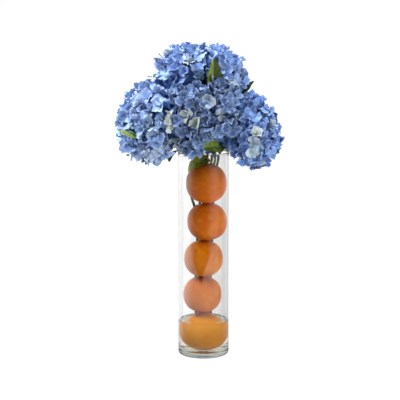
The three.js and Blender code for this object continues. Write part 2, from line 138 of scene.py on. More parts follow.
def ripples(points: Array, seed: int) -> Array:
    """Smooth noise from -1 to 1: the mean of five sine waves in random directions.

    Args:
        points: places in units of the wavelength.
        seed: chooses the directions and phases.

    Returns:
        One value for each point.
    """
    waves, stretch = 5, (0.7, 1.6)
    random = np.random.default_rng(seed)
    directions = unit(random.normal(size=(waves, 3))) * random.uniform(*stretch, (waves, 1))
    phases = random.uniform(0, 2 * math.pi, waves)
    return np.sin(2 * math.pi * points @ directions.T + phases).mean(-1)


class SmoothPath:
    """A centripetal Catmull-Rom curve through points, read by the share of its length."""

    def __init__(self, points: list[Point], detail: int = 40) -> None:
        """Samples the curve.

        Args:
            points: places that it goes through, in millimetres.
            detail: samples between every two of them.
        """
        p = np.array(points, float)
        p = np.vstack([2 * p[0] - p[1], p, 2 * p[-1] - p[-2]])
        x0, x1, x2, x3 = p[:-3], p[1:-2], p[2:-1], p[3:]
        pairs = ((x0, x1), (x1, x2), (x2, x3))
        d0, d1, d2 = (np.sqrt(np.linalg.norm(b - a, axis=1))[:, None] for a, b in pairs)
        start = ((x1 - x0) / d0 - (x2 - x0) / (d0 + d1) + (x2 - x1) / d1) * d1
        end = ((x2 - x1) / d1 - (x3 - x1) / (d1 + d2) + (x3 - x2) / d2) * d1
        t = np.linspace(0, 1, detail, endpoint=False)[None, :, None]
        a, b, m, n = x1[:, None], x2[:, None], start[:, None], end[:, None]
        curve = a + m * t + (3 * (b - a) - 2 * m - n) * t**2 + (2 * (a - b) + m + n) * t**3
        self.points = np.vstack([curve.reshape(-1, 3), p[-2]])
        steps = np.linalg.norm(np.diff(self.points, axis=0), axis=1)
        travelled = np.concatenate([[0], np.cumsum(steps)])
        self.length = float(travelled[-1])
        self.shares = travelled / self.length

    def at(self, shares: Array) -> Array:
        """Places at shares of the length."""
        return np.stack([np.interp(shares, self.shares, self.points[:, k]) for k in range(3)], -1)

    def along(self, shares: Array) -> Array:
        """Unit directions at shares of the length."""
        ahead = self.at(np.minimum(shares + 0.01, 1))
        return unit(ahead - self.at(np.maximum(shares - 0.01, 0)))

    def plane_normal(self) -> Array:
        """The direction in which the curve's points spread least."""
        return np.linalg.svd(self.points - self.points.mean(0))[2][2]


# ---------------------------------------------------------------- surfaces


@dataclass
class Surface:
    """Corners in millimetres, faces as corner numbers with a finish number, and what each corner carries.

    An edge between two crisp corners is shaded as a sharp one, as at the rim of a petal.
    """

    points: Array
    faces: list[tuple[Array, int]]
    uv: Array
    tint: Array
    crisp: Array

    def dressed(self, finish: int) -> "Surface":
        """The same surface with all its faces in one finish."""
        return replace(self, faces=[(f, finish) for f, _ in self.faces])

    def painted(self, colour: Array) -> "Surface":
        """The same surface in one colour."""
        return replace(self, tint=np.tile(colour, (len(self.points), 1)))


def plain(points: Array, faces: list[Array], uv: Array | None = None, tint: Array | None = None) -> Surface:
    """A surface from bare arrays, in finish 0 and with no crisp corners.

    Args:
        points: its corners in millimetres.
        faces: corner numbers, one row for each face.
        uv: its map, or None for an empty one.
        tint: its colours, or None for white.

    Returns:
        The surface.
    """
    uv = np.zeros((len(points), 2)) if uv is None else uv
    tint = np.ones((len(points), 3)) if tint is None else tint
    return Surface(points, [(f, 0) for f in faces], uv, tint, np.zeros(len(points), bool))


def joined(parts: list[Surface]) -> Surface:
    """Several surfaces as one, with their corners renumbered.

    Args:
        parts: the surfaces.

    Returns:
        The one surface.
    """
    starts = np.cumsum([0] + [len(p.points) for p in parts])
    faces = [(f + start, finish) for part, start in zip(parts, starts) for f, finish in part.faces]
    carried = ("points", "uv", "tint", "crisp")
    return Surface(faces=faces, **{k: np.concatenate([getattr(p, k) for p in parts]) for k in carried})


def copied(faces: Array, count: int, corners: int) -> Array:
    """The faces of many copies of a shape that has so many corners."""
    return (faces[None] + np.arange(count)[:, None, None] * corners).reshape(-1, faces.shape[1])


def ring_faces(grid: Array) -> Array:
    """The faces between the rows of a grid of corners whose last column meets its first."""
    ahead = np.roll(grid, -1, 1)
    return np.stack([grid[:-1], ahead[:-1], ahead[1:], grid[1:]], -1).reshape(-1, 4)


def revolved(profile: Array, segments: int) -> Surface:
    """A profile of (radius, height) turned about the Z axis: (r_i cos a_j, r_i sin a_j, z_i).

    Args:
        profile: rows from the first pole to the last, both at radius 0.
        segments: equal steps a_j round the axis.

    Returns:
        The closed surface; its map is (angle share, row share).
    """
    angle = np.arange(segments) * 2 * math.pi / segments
    radius, height = profile[1:-1, :1], profile[1:-1, 1:]
    rings = np.stack(np.broadcast_arrays(radius * np.cos(angle), radius * np.sin(angle), height), -1)
    count = len(rings)
    poles = [[0, 0, profile[0, 1]], [0, 0, profile[-1, 1]]]
    points = np.vstack([rings.reshape(-1, 3), poles])
    grid = np.arange(count * segments).reshape(count, segments)
    ahead = np.roll(grid, -1, 1)
    low = np.stack([np.full(segments, len(points) - 2), ahead[0], grid[0]], -1)
    high = np.stack([np.full(segments, len(points) - 1), grid[-1], ahead[-1]], -1)
    rows = np.repeat(np.arange(1, count + 1) / (count + 1), segments)
    uv = np.stack([np.tile(angle / (2 * math.pi), count), rows], -1)
    return plain(points, [ring_faces(grid), low, high], np.vstack([uv, [[0, 0], [0, 1]]]))


def ball(rows: int, segments: int) -> Surface:
    """A closed ball of radius one whose poles are on the Z axis: (sin a, -cos a) revolved.

    Args:
        rows: steps from pole to pole.
        segments: steps round the axis.

    Returns:
        The ball.
    """
    polar = np.linspace(0, math.pi, rows + 1)
    profile = np.stack([np.sin(polar), -np.cos(polar)], -1)
    profile[[0, -1], 0] = 0
    return revolved(profile, segments)


def arc(centre: Range, radius: float, start: float, end: float, steps: int) -> Array:
    """Profile points on a circle's arc from one angle to another, in degrees."""
    a = np.radians(np.linspace(start, end, steps))
    return np.stack([centre[0] + radius * np.cos(a), centre[1] + radius * np.sin(a)], -1)


def straight(start: Range, end: Range, steps: int) -> Array:
    """Profile points on a straight line from one radius and height to another."""
    return np.stack([np.linspace(a, b, steps) for a, b in zip(start, end)], -1)


def tube(path: SmoothPath, shares: Array, radii: Array, sides: int) -> Surface:
    """A round section carried along a path, with a flat cap at each end.

    The section's two axes are the path's direction crossed with the normal of its mean plane, and that
    crossed with the direction again, so that the tube never twists.

    Args:
        path: the middle line.
        shares: where the sections are, from the start of the path to its end.
        radii: the radius at each of them.
        sides: corners of a section.

    Returns:
        The closed tube; its map is (length in mm, angle share).
    """
    middle, forward = path.at(shares), path.along(shares)
    side = unit(np.cross(forward, path.plane_normal()))
    over = np.cross(forward, side)
    angle = np.arange(sides) * 2 * math.pi / sides
    ring = side[:, None] * np.cos(angle)[None, :, None] + over[:, None] * np.sin(angle)[None, :, None]
    points = (middle[:, None] + ring * radii[:, None, None]).reshape(-1, 3)
    grid = np.arange(len(points)).reshape(len(shares), sides)
    uv = np.stack([np.repeat(shares * path.length, sides), np.tile(angle / (2 * math.pi), len(shares))], -1)
    return plain(points, [ring_faces(grid), grid[:1, ::-1], grid[-1:]], uv)


def closed_blades(top: Array, thickness: float, uv: Array, tint: Array, under_shade: float) -> Surface:
    """Many thin blades of one grid: the under side is the top moved back along its own normal.

    The two sides share the corners of the rim.

    Args:
        top: upper sides, shaped (blades, rows, columns, 3).
        thickness: how thick each blade is away from its rim.
        uv: the map on one grid, shaped (rows, columns, 2).
        tint: colours, shaped like top.
        under_shade: the under side's colour as a share of the upper side's.

    Returns:
        All the blades as one surface.
    """
    count, rows, columns, _ = top.shape
    inner = np.zeros((rows, columns), bool)
    inner[1:-1, 1:-1] = True
    upper = np.arange(rows * columns).reshape(rows, columns)
    lower = upper.copy()
    lower[inner] = rows * columns + np.arange(inner.sum())
    quads = np.stack([(g[:-1, :-1], g[1:, :-1], g[1:, 1:], g[:-1, 1:]) for g in (upper, lower)])
    quads = np.moveaxis(quads, 1, -1).reshape(2, -1, 4)
    normal = unit(np.cross(np.gradient(top, axis=1), np.gradient(top, axis=2)))
    points = np.concatenate([top.reshape(count, -1, 3), (top - normal * thickness)[:, inner]], 1)
    tints = np.concatenate([tint.reshape(count, -1, 3), tint[:, inner] * under_shade], 1)
    faces = copied(np.vstack([quads[0], quads[1][:, ::-1]]), count, points.shape[1])
    maps = np.tile(np.concatenate([uv.reshape(-1, 2), uv[inner]]), (count, 1))
    blades = plain(points.reshape(-1, 3), [faces], maps, tints.reshape(-1, 3))
    blades.crisp = np.tile(np.concatenate([~inner.ravel(), np.zeros(inner.sum(), bool)]), count)
    return blades


# ---------------------------------------------------------------- finishes


class Slot(Enum):
    """The record's material slots."""

    GLASS = "glass"
    WATER = "water"
    PEEL = "orange_peel"
    GREEN = "stem_and_leaf"
    PETAL = "petal"


class Curve(Enum):
    """How a value is carried from one range to another."""

    SMOOTH = "SMOOTHSTEP"
    STRAIGHT = "LINEAR"


class Way(Enum):
    """How one colour is laid over another."""

    PLAIN = "MIX"
    DARKEN = "MULTIPLY"
    SOFTEN = "SOFT_LIGHT"


class Step(Enum):
    """One step of arithmetic in a material."""

    SUM = "ADD"
    LESS = "SUBTRACT"
    TIMES = "MULTIPLY"
    LARGER = "MAXIMUM"
    SIZE = "ABSOLUTE"
    ZIGZAG = "PINGPONG"


class NodeSheet:
    """The nodes of one material or world, added and joined by short calls."""

    def __init__(self, owner: bpy.types.ID, output: str = "OutputMaterial") -> None:
        """Empties the owner's node tree and adds its output node.

        Args:
            owner: the material or the world.
            output: the output's type without the ShaderNode prefix.
        """
        owner.use_nodes = True
        self.tree = owner.node_tree
        self.tree.nodes.clear()
        self.output = self.add(output)

    def put(self, target: Socket, value: object) -> None:
        """Links an input to a socket, or sets it to a value.

        Args:
            target: the input.
            value: a socket, a number, or a colour or triple as an array.
        """
        if isinstance(value, Socket):
            self.tree.links.new(value, target)
        elif isinstance(value, np.ndarray):
            target.default_value = (*[float(v) for v in value], 1.0)[: len(target.default_value)]
        else:
            target.default_value = value

    def add(self, kind: str, settings: dict | None = None, **values: object) -> bpy.types.Node:
        """Adds a node.

        Args:
            kind: its type without the ShaderNode prefix.
            settings: properties of the node itself.
            **values: its inputs by name, with _ for a space, or as i0, i1 and so on by number.

        Returns:
            The node.
        """
        node = self.tree.nodes.new("ShaderNode" + kind)
        for key, value in (settings or {}).items():
            setattr(node, key, value)
        for key, value in values.items():
            self.put(node.inputs[int(key[1:]) if key[1:].isdigit() else key.replace("_", " ")], value)
        return node

    def math(self, step: Step, a: object, b: object = 0.0) -> Socket:
        """The result of one arithmetic step."""
        return self.add("Math", {"operation": step.value}, i0=a, i1=b).outputs[0]

    def times(self, a: object, b: object) -> Socket:
        """The product of two values."""
        return self.math(Step.TIMES, a, b)

    def minus(self, a: object, b: object) -> Socket:
        """The first value less the second."""
        return self.math(Step.LESS, a, b)

    def mix(self, share: object, a: object, b: object, way: Way = Way.PLAIN) -> Socket:
        """Two colours mixed."""
        settings = {"data_type": "RGBA", "blend_type": way.value}
        return self.add("Mix", settings, i0=share, i6=a, i7=b).outputs[2]

    def ramp(
        self,
        value: object,
        low: float,
        high: float,
        to_low: object = 0.0,
        to_high: object = 1.0,
        curve: Curve = Curve.SMOOTH,
    ) -> Socket:
        """A value moved from one range to another and held at its ends."""
        settings = {"interpolation_type": curve.value}
        return self.add("MapRange", settings, Value=value, i1=low, i2=high, i3=to_low, i4=to_high).outputs[0]

    def place(self) -> Socket:
        """The place on the piece, in metres."""
        return self.add("TexCoord").outputs["Object"]

    def noise(self, place: Socket, scale: float, detail: float) -> Socket:
        """Soft noise over places."""
        return self.add("TexNoise", Vector=place, Scale=scale, Detail=detail).outputs["Fac"]

    def cells(self, place: Socket, scale: float) -> Socket:
        """The distance to the nearest of many scattered points."""
        return self.add("TexVoronoi", Vector=place, Scale=scale).outputs["Distance"]

    def map_place(self) -> list[Socket]:
        """The two coordinates of the piece's own map."""
        return self.add("SeparateXYZ", Vector=self.add("UVMap", {"uv_map": "UVMap"}).outputs[0]).outputs[:2]

    def tint(self) -> Socket:
        """The piece's own colour attribute."""
        return self.add("Attribute", {"attribute_name": "tint"}).outputs["Color"]


class Finish:
    """A procedural material; each kind of it draws its own shader.

    A bump's numbers are its strength and its depth in metres.
    """

    bump: Range
    roughness: float
    specular: float

    def shader(self, sheet: NodeSheet) -> bpy.types.Node:
        """Each finish gives its own shader's node."""
        raise NotImplementedError

    def coat(self, sheet: NodeSheet, colour: Socket, height: Socket, **values: float) -> bpy.types.Node:
        """A shader with the finish's own bump, roughness and gloss.

        Args:
            sheet: the material's nodes.
            colour: its colour.
            height: the relief under its bump.
            **values: its other inputs.

        Returns:
            The shader's node.
        """
        relief = sheet.add("Bump", Strength=self.bump[0], Distance=self.bump[1], Height=height)
        values |= {"Roughness": self.roughness, "Specular_IOR_Level": self.specular}
        return sheet.add("BsdfPrincipled", Base_Color=colour, Normal=relief.outputs[0], **values)

    def build(self, name: str) -> Material:
        """Makes the material.

        Args:
            name: its name.

        Returns:
            The material.
        """
        material = bpy.data.materials.new(name)
        sheet = NodeSheet(material)
        sheet.put(sheet.output.inputs["Surface"], self.shader(sheet).outputs[0])
        return material


@dataclass(frozen=True)
class PetalFinish(Finish):
    """A soft matte petal: its own tint, with fine veins that run from its foot to its tip."""

    veins: float = 7.0
    vein_width: float = 0.16
    vein_depth: float = 0.16
    grain: float = 260.0
    grain_range: Ramp = (0.3, 0.75, 0.0, 0.22)
    bump: Range = (0.35, 0.0004)
    roughness: float = 0.62
    specular: float = 0.35
    sheen: Range = (0.12, 0.5)
    light: Colour = (196, 210, 240)
    dark: Colour = (52, 78, 150)

    def shader(self, sheet: NodeSheet) -> bpy.types.Node:
        """The petal's shader: veins from the map, and grain from places.

        Args:
            sheet: the material's nodes.

        Returns:
            The shader's node.
        """
        wave = sheet.math(Step.ZIGZAG, sheet.times(sheet.map_place()[1], self.veins), 0.5)
        vein = sheet.ramp(wave, 0.0, self.vein_width, 1.0, 0.0)
        grain = sheet.noise(sheet.place(), self.grain, 3.0)
        share = sheet.ramp(grain, *self.grain_range)
        mottled = sheet.mix(share, sheet.tint(), linear(*self.light), Way.SOFTEN)
        coloured = sheet.mix(sheet.times(vein, self.vein_depth), mottled, linear(*self.dark))
        weight, roughness = self.sheen
        height = sheet.minus(grain, vein)
        return self.coat(sheet, coloured, height, Sheen_Weight=weight, Sheen_Roughness=roughness)


@dataclass(frozen=True)
class StalkFinish(Finish):
    """The pale blue-green inner stalks and the dim middle of a flower head."""

    grain: float = 90.0
    grain_range: Range = (0.35, 0.7)
    bump: Range = (0.5, 0.001)
    roughness: float = 0.7
    specular: float = 0.25
    dark: Colour = (40, 58, 92)

    def shader(self, sheet: NodeSheet) -> bpy.types.Node:
        """The stalks' shader: the tint, darkened by soft noise.

        Args:
            sheet: the material's nodes.

        Returns:
            The shader's node.
        """
        noise = sheet.noise(sheet.place(), self.grain, 4.0)
        share = sheet.ramp(noise, *self.grain_range)
        colour = sheet.mix(share, sheet.tint(), linear(*self.dark), Way.DARKEN)
        return self.coat(sheet, colour, noise)


@dataclass(frozen=True)
class LeafFinish(Finish):
    """A satin leaf: its own tint, a pale midrib and side veins that run forward to the edge."""

    side_veins: float = 8.0
    sweep: float = 1.5
    side_width: float = 0.09
    midrib: Ramp = (0.02, 0.08, 1.0, 0.0)
    vein_share: float = 0.55
    grain: float = 140.0
    grain_range: Ramp = (0.3, 0.75, 0.0, 0.5)
    grain_height: float = 0.4
    bump: Range = (0.4, 0.0006)
    roughness: float = 0.42
    specular: float = 0.45
    dark: Colour = (60, 84, 28)
    vein: Colour = (168, 182, 96)

    def shader(self, sheet: NodeSheet) -> bpy.types.Node:
        """The leaf's shader: veins from the map over a tint that noise varies.

        Args:
            sheet: the material's nodes.

        Returns:
            The shader's node.
        """
        along, across = sheet.map_place()
        off_rib = sheet.math(Step.SIZE, sheet.minus(sheet.times(across, 2.0), 1.0))
        swept = sheet.minus(sheet.times(along, self.side_veins), sheet.times(off_rib, self.sweep))
        side = sheet.ramp(sheet.math(Step.ZIGZAG, swept, 0.5), 0.0, self.side_width, 1.0, 0.0)
        midrib = sheet.ramp(off_rib, *self.midrib)
        veins = sheet.math(Step.LARGER, sheet.times(side, self.vein_share), midrib)
        noise = sheet.noise(sheet.place(), self.grain, 5.0)
        share = sheet.ramp(noise, *self.grain_range)
        varied = sheet.mix(share, sheet.tint(), linear(*self.dark), Way.DARKEN)
        veined = sheet.mix(sheet.times(veins, self.vein_share), varied, linear(*self.vein))
        height = sheet.minus(sheet.times(noise, self.grain_height), veins)
        return self.coat(sheet, veined, height)


@dataclass(frozen=True)
class CaneFinish(Finish):
    """A green stem with long fibres, small pale specks and browner patches."""

    fibres: Point = (900.0, 900.0, 60.0)
    fibre_range: Range = (0.3, 0.7)
    specks: float = 420.0
    speck_range: Ramp = (0.05, 0.2, 0.6, 0.0)
    bump: Range = (0.4, 0.0005)
    roughness: float = 0.5
    specular: float = 0.4
    dark: Colour = (74, 88, 40)
    pale: Colour = (170, 168, 112)

    def shader(self, sheet: NodeSheet) -> bpy.types.Node:
        """The stem's shader: stretched noise as fibres, and specks.

        Args:
            sheet: the material's nodes.

        Returns:
            The shader's node.
        """
        place = sheet.place()
        stretched = sheet.add("Mapping", Vector=place, Scale=np.array(self.fibres))
        fibres = sheet.noise(stretched.outputs[0], 1.0, 3.0)
        specks = sheet.ramp(sheet.cells(place, self.specks), *self.speck_range)
        share = sheet.ramp(fibres, *self.fibre_range)
        green = sheet.mix(share, sheet.tint(), linear(*self.dark), Way.DARKEN)
        colour = sheet.mix(specks, green, linear(*self.pale))
        return self.coat(sheet, colour, fibres)


@dataclass(frozen=True)
class PeelFinish(Finish):
    """Orange peel: fine pores, a little colour drift, pale blotches and a soft waxy gloss."""

    colour: Colour
    deep: Colour
    pores: float = 720.0
    pore_range: Ramp = (0.0, 0.34, 1.0, 0.0)
    pore_dark: float = 0.3
    drift: float = 24.0
    drift_range: Range = (0.32, 0.72)
    drift_height: float = 0.5
    blotches: float = 95.0
    blotch_range: Ramp = (0.45, 0.75, 0.0, 0.35)
    blotch: Colour = (232, 156, 40)
    bump: Range = (0.55, 0.0004)
    roughness: float = 0.4
    specular: float = 0.22
    wax: Range = (0.05, 0.25)

    def shader(self, sheet: NodeSheet) -> bpy.types.Node:
        """The peel's shader: drifting colour with blotches, darker in the pores.

        Args:
            sheet: the material's nodes.

        Returns:
            The shader's node.
        """
        place = sheet.place()
        colour, deep = linear(*self.colour), linear(*self.deep)
        pit = sheet.ramp(sheet.cells(place, self.pores), *self.pore_range)
        drift = sheet.noise(place, self.drift, 4.0)
        smooth = sheet.mix(sheet.ramp(drift, *self.drift_range), colour, deep)
        share = sheet.ramp(sheet.noise(place, self.blotches, 3.0), *self.blotch_range)
        blotched = sheet.mix(share, smooth, linear(*self.blotch))
        pitted = sheet.mix(sheet.times(pit, self.pore_dark), blotched, deep)
        tinted = sheet.mix(1.0, pitted, sheet.tint(), Way.DARKEN)
        weight, roughness = self.wax
        height = sheet.minus(sheet.times(drift, self.drift_height), pit)
        return self.coat(sheet, tinted, height, Coat_Weight=weight, Coat_Roughness=roughness)


@dataclass(frozen=True)
class ClearFinish(Finish):
    """Glass or water: it bends what is behind it, lets the lamps through, and is tinted by its thickness."""

    bend: float
    tint: Colour
    depth: float
    shadow: Colour = (0.94, 0.95, 0.95)

    def shader(self, sheet: NodeSheet) -> bpy.types.Node:
        """The clear body's shader, and its tint as a volume.

        Args:
            sheet: the material's nodes.

        Returns:
            The shader's node.
        """
        dim = sheet.add("VolumeAbsorption", Density=self.depth, Color=np.array(self.tint))
        sheet.put(sheet.output.inputs["Volume"], dim.outputs[0])
        values = {"Base_Color": np.ones(3), "Roughness": 0.0, "IOR": self.bend, "Transmission_Weight": 1.0}
        body = sheet.add("BsdfPrincipled", **values).outputs[0]
        lets_through = sheet.add("BsdfTransparent", Color=np.array(self.shadow)).outputs[0]
        lamps = sheet.add("LightPath").outputs["Is Shadow Ray"]
        return sheet.add("MixShader", i0=lamps, i1=body, i2=lets_through)


# ---------------------------------------------------------------- pieces


def fill(items: bpy.types.bpy_prop_collection, name: str, values: Array, kind: type = np.float32) -> None:
    """Sets one property of all items from an array."""
    items.foreach_set(name, values.astype(kind).ravel())


def stood(name: str, data: bpy.types.ID) -> bpy.types.Object:
    """Puts a mesh, lamp or camera into the scene as an object at the origin.

    Args:
        name: the object's name.
        data: the mesh, lamp or camera.

    Returns:
        The object.
    """
    thing = bpy.data.objects.new(name, data)
    bpy.context.scene.collection.objects.link(thing)
    return thing


class Bench:
    """Turns surfaces into finished pieces that ride on the part."""

    def __init__(self) -> None:
        """Starts with no pieces."""
        self.pieces: list[bpy.types.Object] = []

    def piece(self, name: str, surface: Surface, materials: list[Material], node: str) -> None:
        """Makes a piece of the part, an object at the origin.

        Args:
            name: the piece's name.
            surface: its shape in millimetres.
            materials: one for each finish number of its faces.
            node: the solid that it stands for.
        """
        mesh = bpy.data.meshes.new(name)
        corners = np.concatenate([f.ravel() for f, _ in surface.faces])
        sizes = np.concatenate([np.full(len(f), f.shape[1]) for f, _ in surface.faces])
        finish = np.concatenate([np.full(len(f), number) for f, number in surface.faces])
        mesh.vertices.add(len(surface.points))
        fill(mesh.vertices, "co", surface.points * MM)
        mesh.loops.add(len(corners))
        fill(mesh.loops, "vertex_index", corners, np.int32)
        mesh.polygons.add(len(sizes))
        fill(mesh.polygons, "loop_start", np.cumsum(sizes) - sizes, np.int32)
        fill(mesh.polygons, "material_index", finish, np.int32)
        mesh.update(calc_edges=True)
        fill(mesh.polygons, "use_smooth", sizes <= 4, bool)
        fill(mesh.uv_layers.new(name="UVMap").data, "uv", surface.uv[corners])
        tint = mesh.color_attributes.new(name="tint", type="FLOAT_COLOR", domain="POINT")
        fill(tint.data, "color", np.concatenate([surface.tint, np.ones((len(surface.tint), 1))], 1))
        ends = np.zeros(len(mesh.edges) * 2, np.int32)
        mesh.edges.foreach_get("vertices", ends)
        sharp = mesh.attributes.new("sharp_edge", "BOOLEAN", "EDGE")
        fill(sharp.data, "value", surface.crisp[ends.reshape(-1, 2)].all(1), bool)
        for material in materials:
            mesh.materials.append(material)
        thing = stood(name, mesh)
        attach(thing, "root")
        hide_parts(node)
        self.pieces.append(thing)
        LOG.info("%s: %d faces", name, len(sizes))


# ---------------------------------------------------------------- vase and water


@dataclass
class GlassVase:
    """A straight clear cylinder: thick base, rounded heel, slightly pushed-up underside and polished lip."""

    radius: float = 50.8
    height: float = 406.4
    wall: float = 3.0
    base: float = 9.0
    heel: float = 6.0
    corner: float = 5.0
    punt: float = 1.4
    foot: float = 1.5
    segments: int = 192
    steps: int = 24
    floor_steps: int = 6
    hub: float = 8.0
    run_out: float = 8.0
    glass: ClearFinish = ClearFinish(bend=1.5, tint=(0.82, 0.84, 0.83), depth=36.0)

    @property
    def bore(self) -> float:
        """The inner radius."""
        return self.radius - self.wall

    def profile(self) -> Array:
        """The wall's section: arcs at the heel, the lip and the inner corner, joined by straight runs.

        The underside rises inside its standing ring by punt (1 - (r / ring)^2).

        Returns:
            Rows of radius and height, from the middle of the underside round to the middle of the floor.
        """
        lip, run = self.wall / 2, self.run_out
        top, bend = self.height - lip, self.base + self.corner
        ring = self.radius - self.heel - self.foot
        under = np.linspace(4, ring, 18)
        wide = self.bore - self.corner - 1
        return np.vstack(
            [
                [[0, self.punt]],
                np.stack([under, self.punt * (1 - (under / ring) ** 2)], -1),
                arc((self.radius - self.heel, self.heel), self.heel, -90, 0, 8),
                straight((self.radius, self.heel + run), (self.radius, top - run), self.steps),
                arc((self.radius - lip, top), lip, 0, 180, 13),
                straight((self.bore, top - run), (self.bore, bend + run), self.steps),
                arc((self.bore - self.corner, bend), self.corner, 0, -90, 10),
                straight((wide, self.base), (self.hub, self.base), self.floor_steps),
                [[0, self.base]],
            ]
        )

    def build(self, bench: Bench) -> None:
        """Makes the vase."""
        glass = self.glass.build("clear_glass")
        bench.piece("vase_glass", revolved(self.profile(), self.segments), [glass], "vase")


@dataclass
class VaseWater:
    """Still water that wets the glass: it creeps up the wall and reaches just into it, so no air shows."""

    vase: GlassVase
    level: float = 69.5
    creep: float = 0.35
    creep_width: float = 1.4
    wetting: float = 0.25
    steps: int = 6
    inward: tuple[float, ...] = (0.0, 0.3, 0.7, 1.2, 1.9, 2.8, 4.2, 7.0)
    water: ClearFinish = ClearFinish(bend=1.333, tint=(0.985, 0.945, 0.68), depth=8.0)

    def build(self, bench: Bench) -> None:
        """Makes the water: straight up the wall, then down the curve exp(-distance / creep_width) to its level.

        Args:
            bench: where the piece is made.
        """
        radius = self.vase.bore + self.wetting
        floor = self.vase.base - self.wetting
        corner = self.vase.corner
        inward = np.array(self.inward)
        climb = self.level + self.creep * np.exp(-inward / self.creep_width)
        profile = np.vstack(
            [
                [[0, floor]],
                straight((self.vase.hub, floor), (radius - corner - 1, floor), self.steps),
                arc((radius - corner, floor + corner), corner, -90, 0, 10),
                straight((radius, floor + corner + 6), (radius, self.level - 2), self.steps),
                np.stack([radius - inward, climb], -1),
                [[20, self.level], [0, self.level]],
            ]
        )
        water = self.water.build("still_water")
        bench.piece("vase_water", revolved(profile, self.vase.segments), [water], "water")


# ---------------------------------------------------------------- oranges


@dataclass
class Orange:
    """One full fruit with pored peel, a dimple at the stalk end and a dry five-lobed button in it.

    half holds its half-sizes across, front to back and upright. fullness 2 is an ellipsoid, and more is
    flatter on top and fuller at the shoulders. A hollow's numbers are its depth, its angle from its end of
    the fruit and its angular width. A shade's are its depth and width. swell and dents are the height and
    fineness of ripples.
    """

    number: int
    half: Point
    lean: Range
    turn: Range
    peel: PeelFinish
    fullness: float = 2.2
    sunk: float = 0.3
    dimple: Point = (1.6, 0.0, 0.22)
    scar: Point = (0.8, 0.0, 0.2)
    scar_ring: Point = (0.35, 0.16, 0.05)
    crease: Point = (0.3, 0.3, 0.2)
    creases: int = 7
    swell: Range = (0.28, 0.9)
    dents: Range = (0.07, 6.0)
    top_shade: Range = (0.12, 0.3)
    foot_shade: Range = (0.1, 0.16)
    blue_shade: float = 0.96
    button_radius: float = 3.5
    button_height: float = 1.5
    button_sunk: float = 2.0
    button_dip: Range = (0.5, 0.08)
    lobe: float = 1.1
    lobes: int = 5
    button_colour: Colour = (116, 108, 58)

    def reach(self, directions: Array) -> Array:
        """The skin's distance from the middle: (hypot(x / a, y / b)^n + |z / c|^n)^(-1 / n) on unit directions.

        Args:
            directions: ways out from the middle.

        Returns:
            One distance for each of them.
        """
        d = unit(directions) / np.array(self.half)
        level = np.hypot(d[..., 0], d[..., 1]) ** self.fullness
        return (level + np.abs(d[..., 2]) ** self.fullness) ** (-1 / self.fullness)

    def laid(self, points: Array) -> Array:
        """Points built round an upright stalk, turned as the fruit lies."""
        return turned(turned(points, 0, self.turn[0]), 1, self.turn[1])

    def fruit(self) -> Surface:
        """The fruit: its reach, ripples and creases, less a dimple at the stalk end and a scar at the foot.

        Returns:
            The fruit, round its own middle.
        """
        fruit = ball(72, 112)
        direction = fruit.points
        from_top = np.arccos(np.clip(direction[:, 2], -1, 1))
        from_foot = math.pi - from_top
        azimuth = np.arctan2(direction[:, 1], direction[:, 0])
        ends = ((self.dimple, from_top), (self.scar, from_foot), (self.scar_ring, from_foot))
        cuts = sum(depth * bell(angle - place, width) for (depth, place, width), angle in ends)
        depth, place, width = self.crease
        creases = depth * np.cos(self.creases * azimuth + self.number) * bell(from_top - place, width)
        uneven = self.swell[0] * ripples(direction * self.swell[1], 40 + self.number)
        uneven += self.dents[0] * ripples(direction * self.dents[1], 60 + self.number)
        laid = self.laid(direction)
        fruit.points = laid * (self.reach(laid) - self.sunk + uneven - cuts + creases)[:, None]
        shades = ((self.top_shade, from_top), (self.foot_shade, from_foot))
        shade = 1 - sum(depth * bell(angle, width) for (depth, width), angle in shades)
        fruit.tint = np.stack([shade, shade, shade * self.blue_shade], -1)
        return fruit

    def button(self) -> Surface:
        """The button: a low dome whose rim is r = button_radius + lobe cos(5 a), sunk into the dimple.

        Returns:
            The button, where it sits on the fruit.
        """
        dome = ball(12, 50)
        azimuth = np.arctan2(dome.points[:, 1], dome.points[:, 0])
        rim = self.button_radius + self.lobe * np.cos(self.lobes * azimuth)
        dip = self.button_dip[0] * np.exp(-((dome.points[:, :2] ** 2).sum(1)) / self.button_dip[1])
        dome.points = dome.points * np.stack([rim, rim, np.full(len(rim), self.button_height)], -1)
        top = self.reach(self.laid(np.array([[0.0, 0.0, 1.0]])))[0]
        dome.points[:, 2] += top - self.button_sunk - dip
        dome.points = self.laid(dome.points)
        return dome.painted(linear(*self.button_colour))

    def build(self, bench: Bench, cane: Material, centre: Array) -> None:
        """Makes the fruit with its button.

        Args:
            bench: where the piece is made.
            cane: the stems' material, for the button.
            centre: the fruit's middle.
        """
        whole = joined([self.fruit(), self.button().dressed(1)])
        whole.points = whole.points + centre
        name = f"orange_{self.number}"
        bench.piece(name + "_fruit", whole, [self.peel.build(name + "_peel"), cane], name)


ORANGES = [
    Orange(1, (39.3, 38.3, 37), (1, -3), (-0.45, 0.2), PeelFinish((214, 140, 8), (200, 116, 4))),
    Orange(2, (38.4, 37.8, 36.7), (-2.1, 0.5), (-0.3, 0.5), PeelFinish((198, 108, 10), (176, 84, 6))),
    Orange(3, (38.8, 38.2, 36.7), (0.1, -2.5), (-0.6, -0.35), PeelFinish((202, 116, 6), (178, 86, 4))),
    Orange(4, (39.9, 38.6, 37.4), (7.2, -1.5), (-0.45, -0.3), PeelFinish((208, 110, 4), (182, 80, 2))),
    Orange(5, (40.2, 38.8, 39.4), (5.4, -5.5), (-0.3, 0.4), PeelFinish((210, 106, 4), (180, 72, 2))),
]


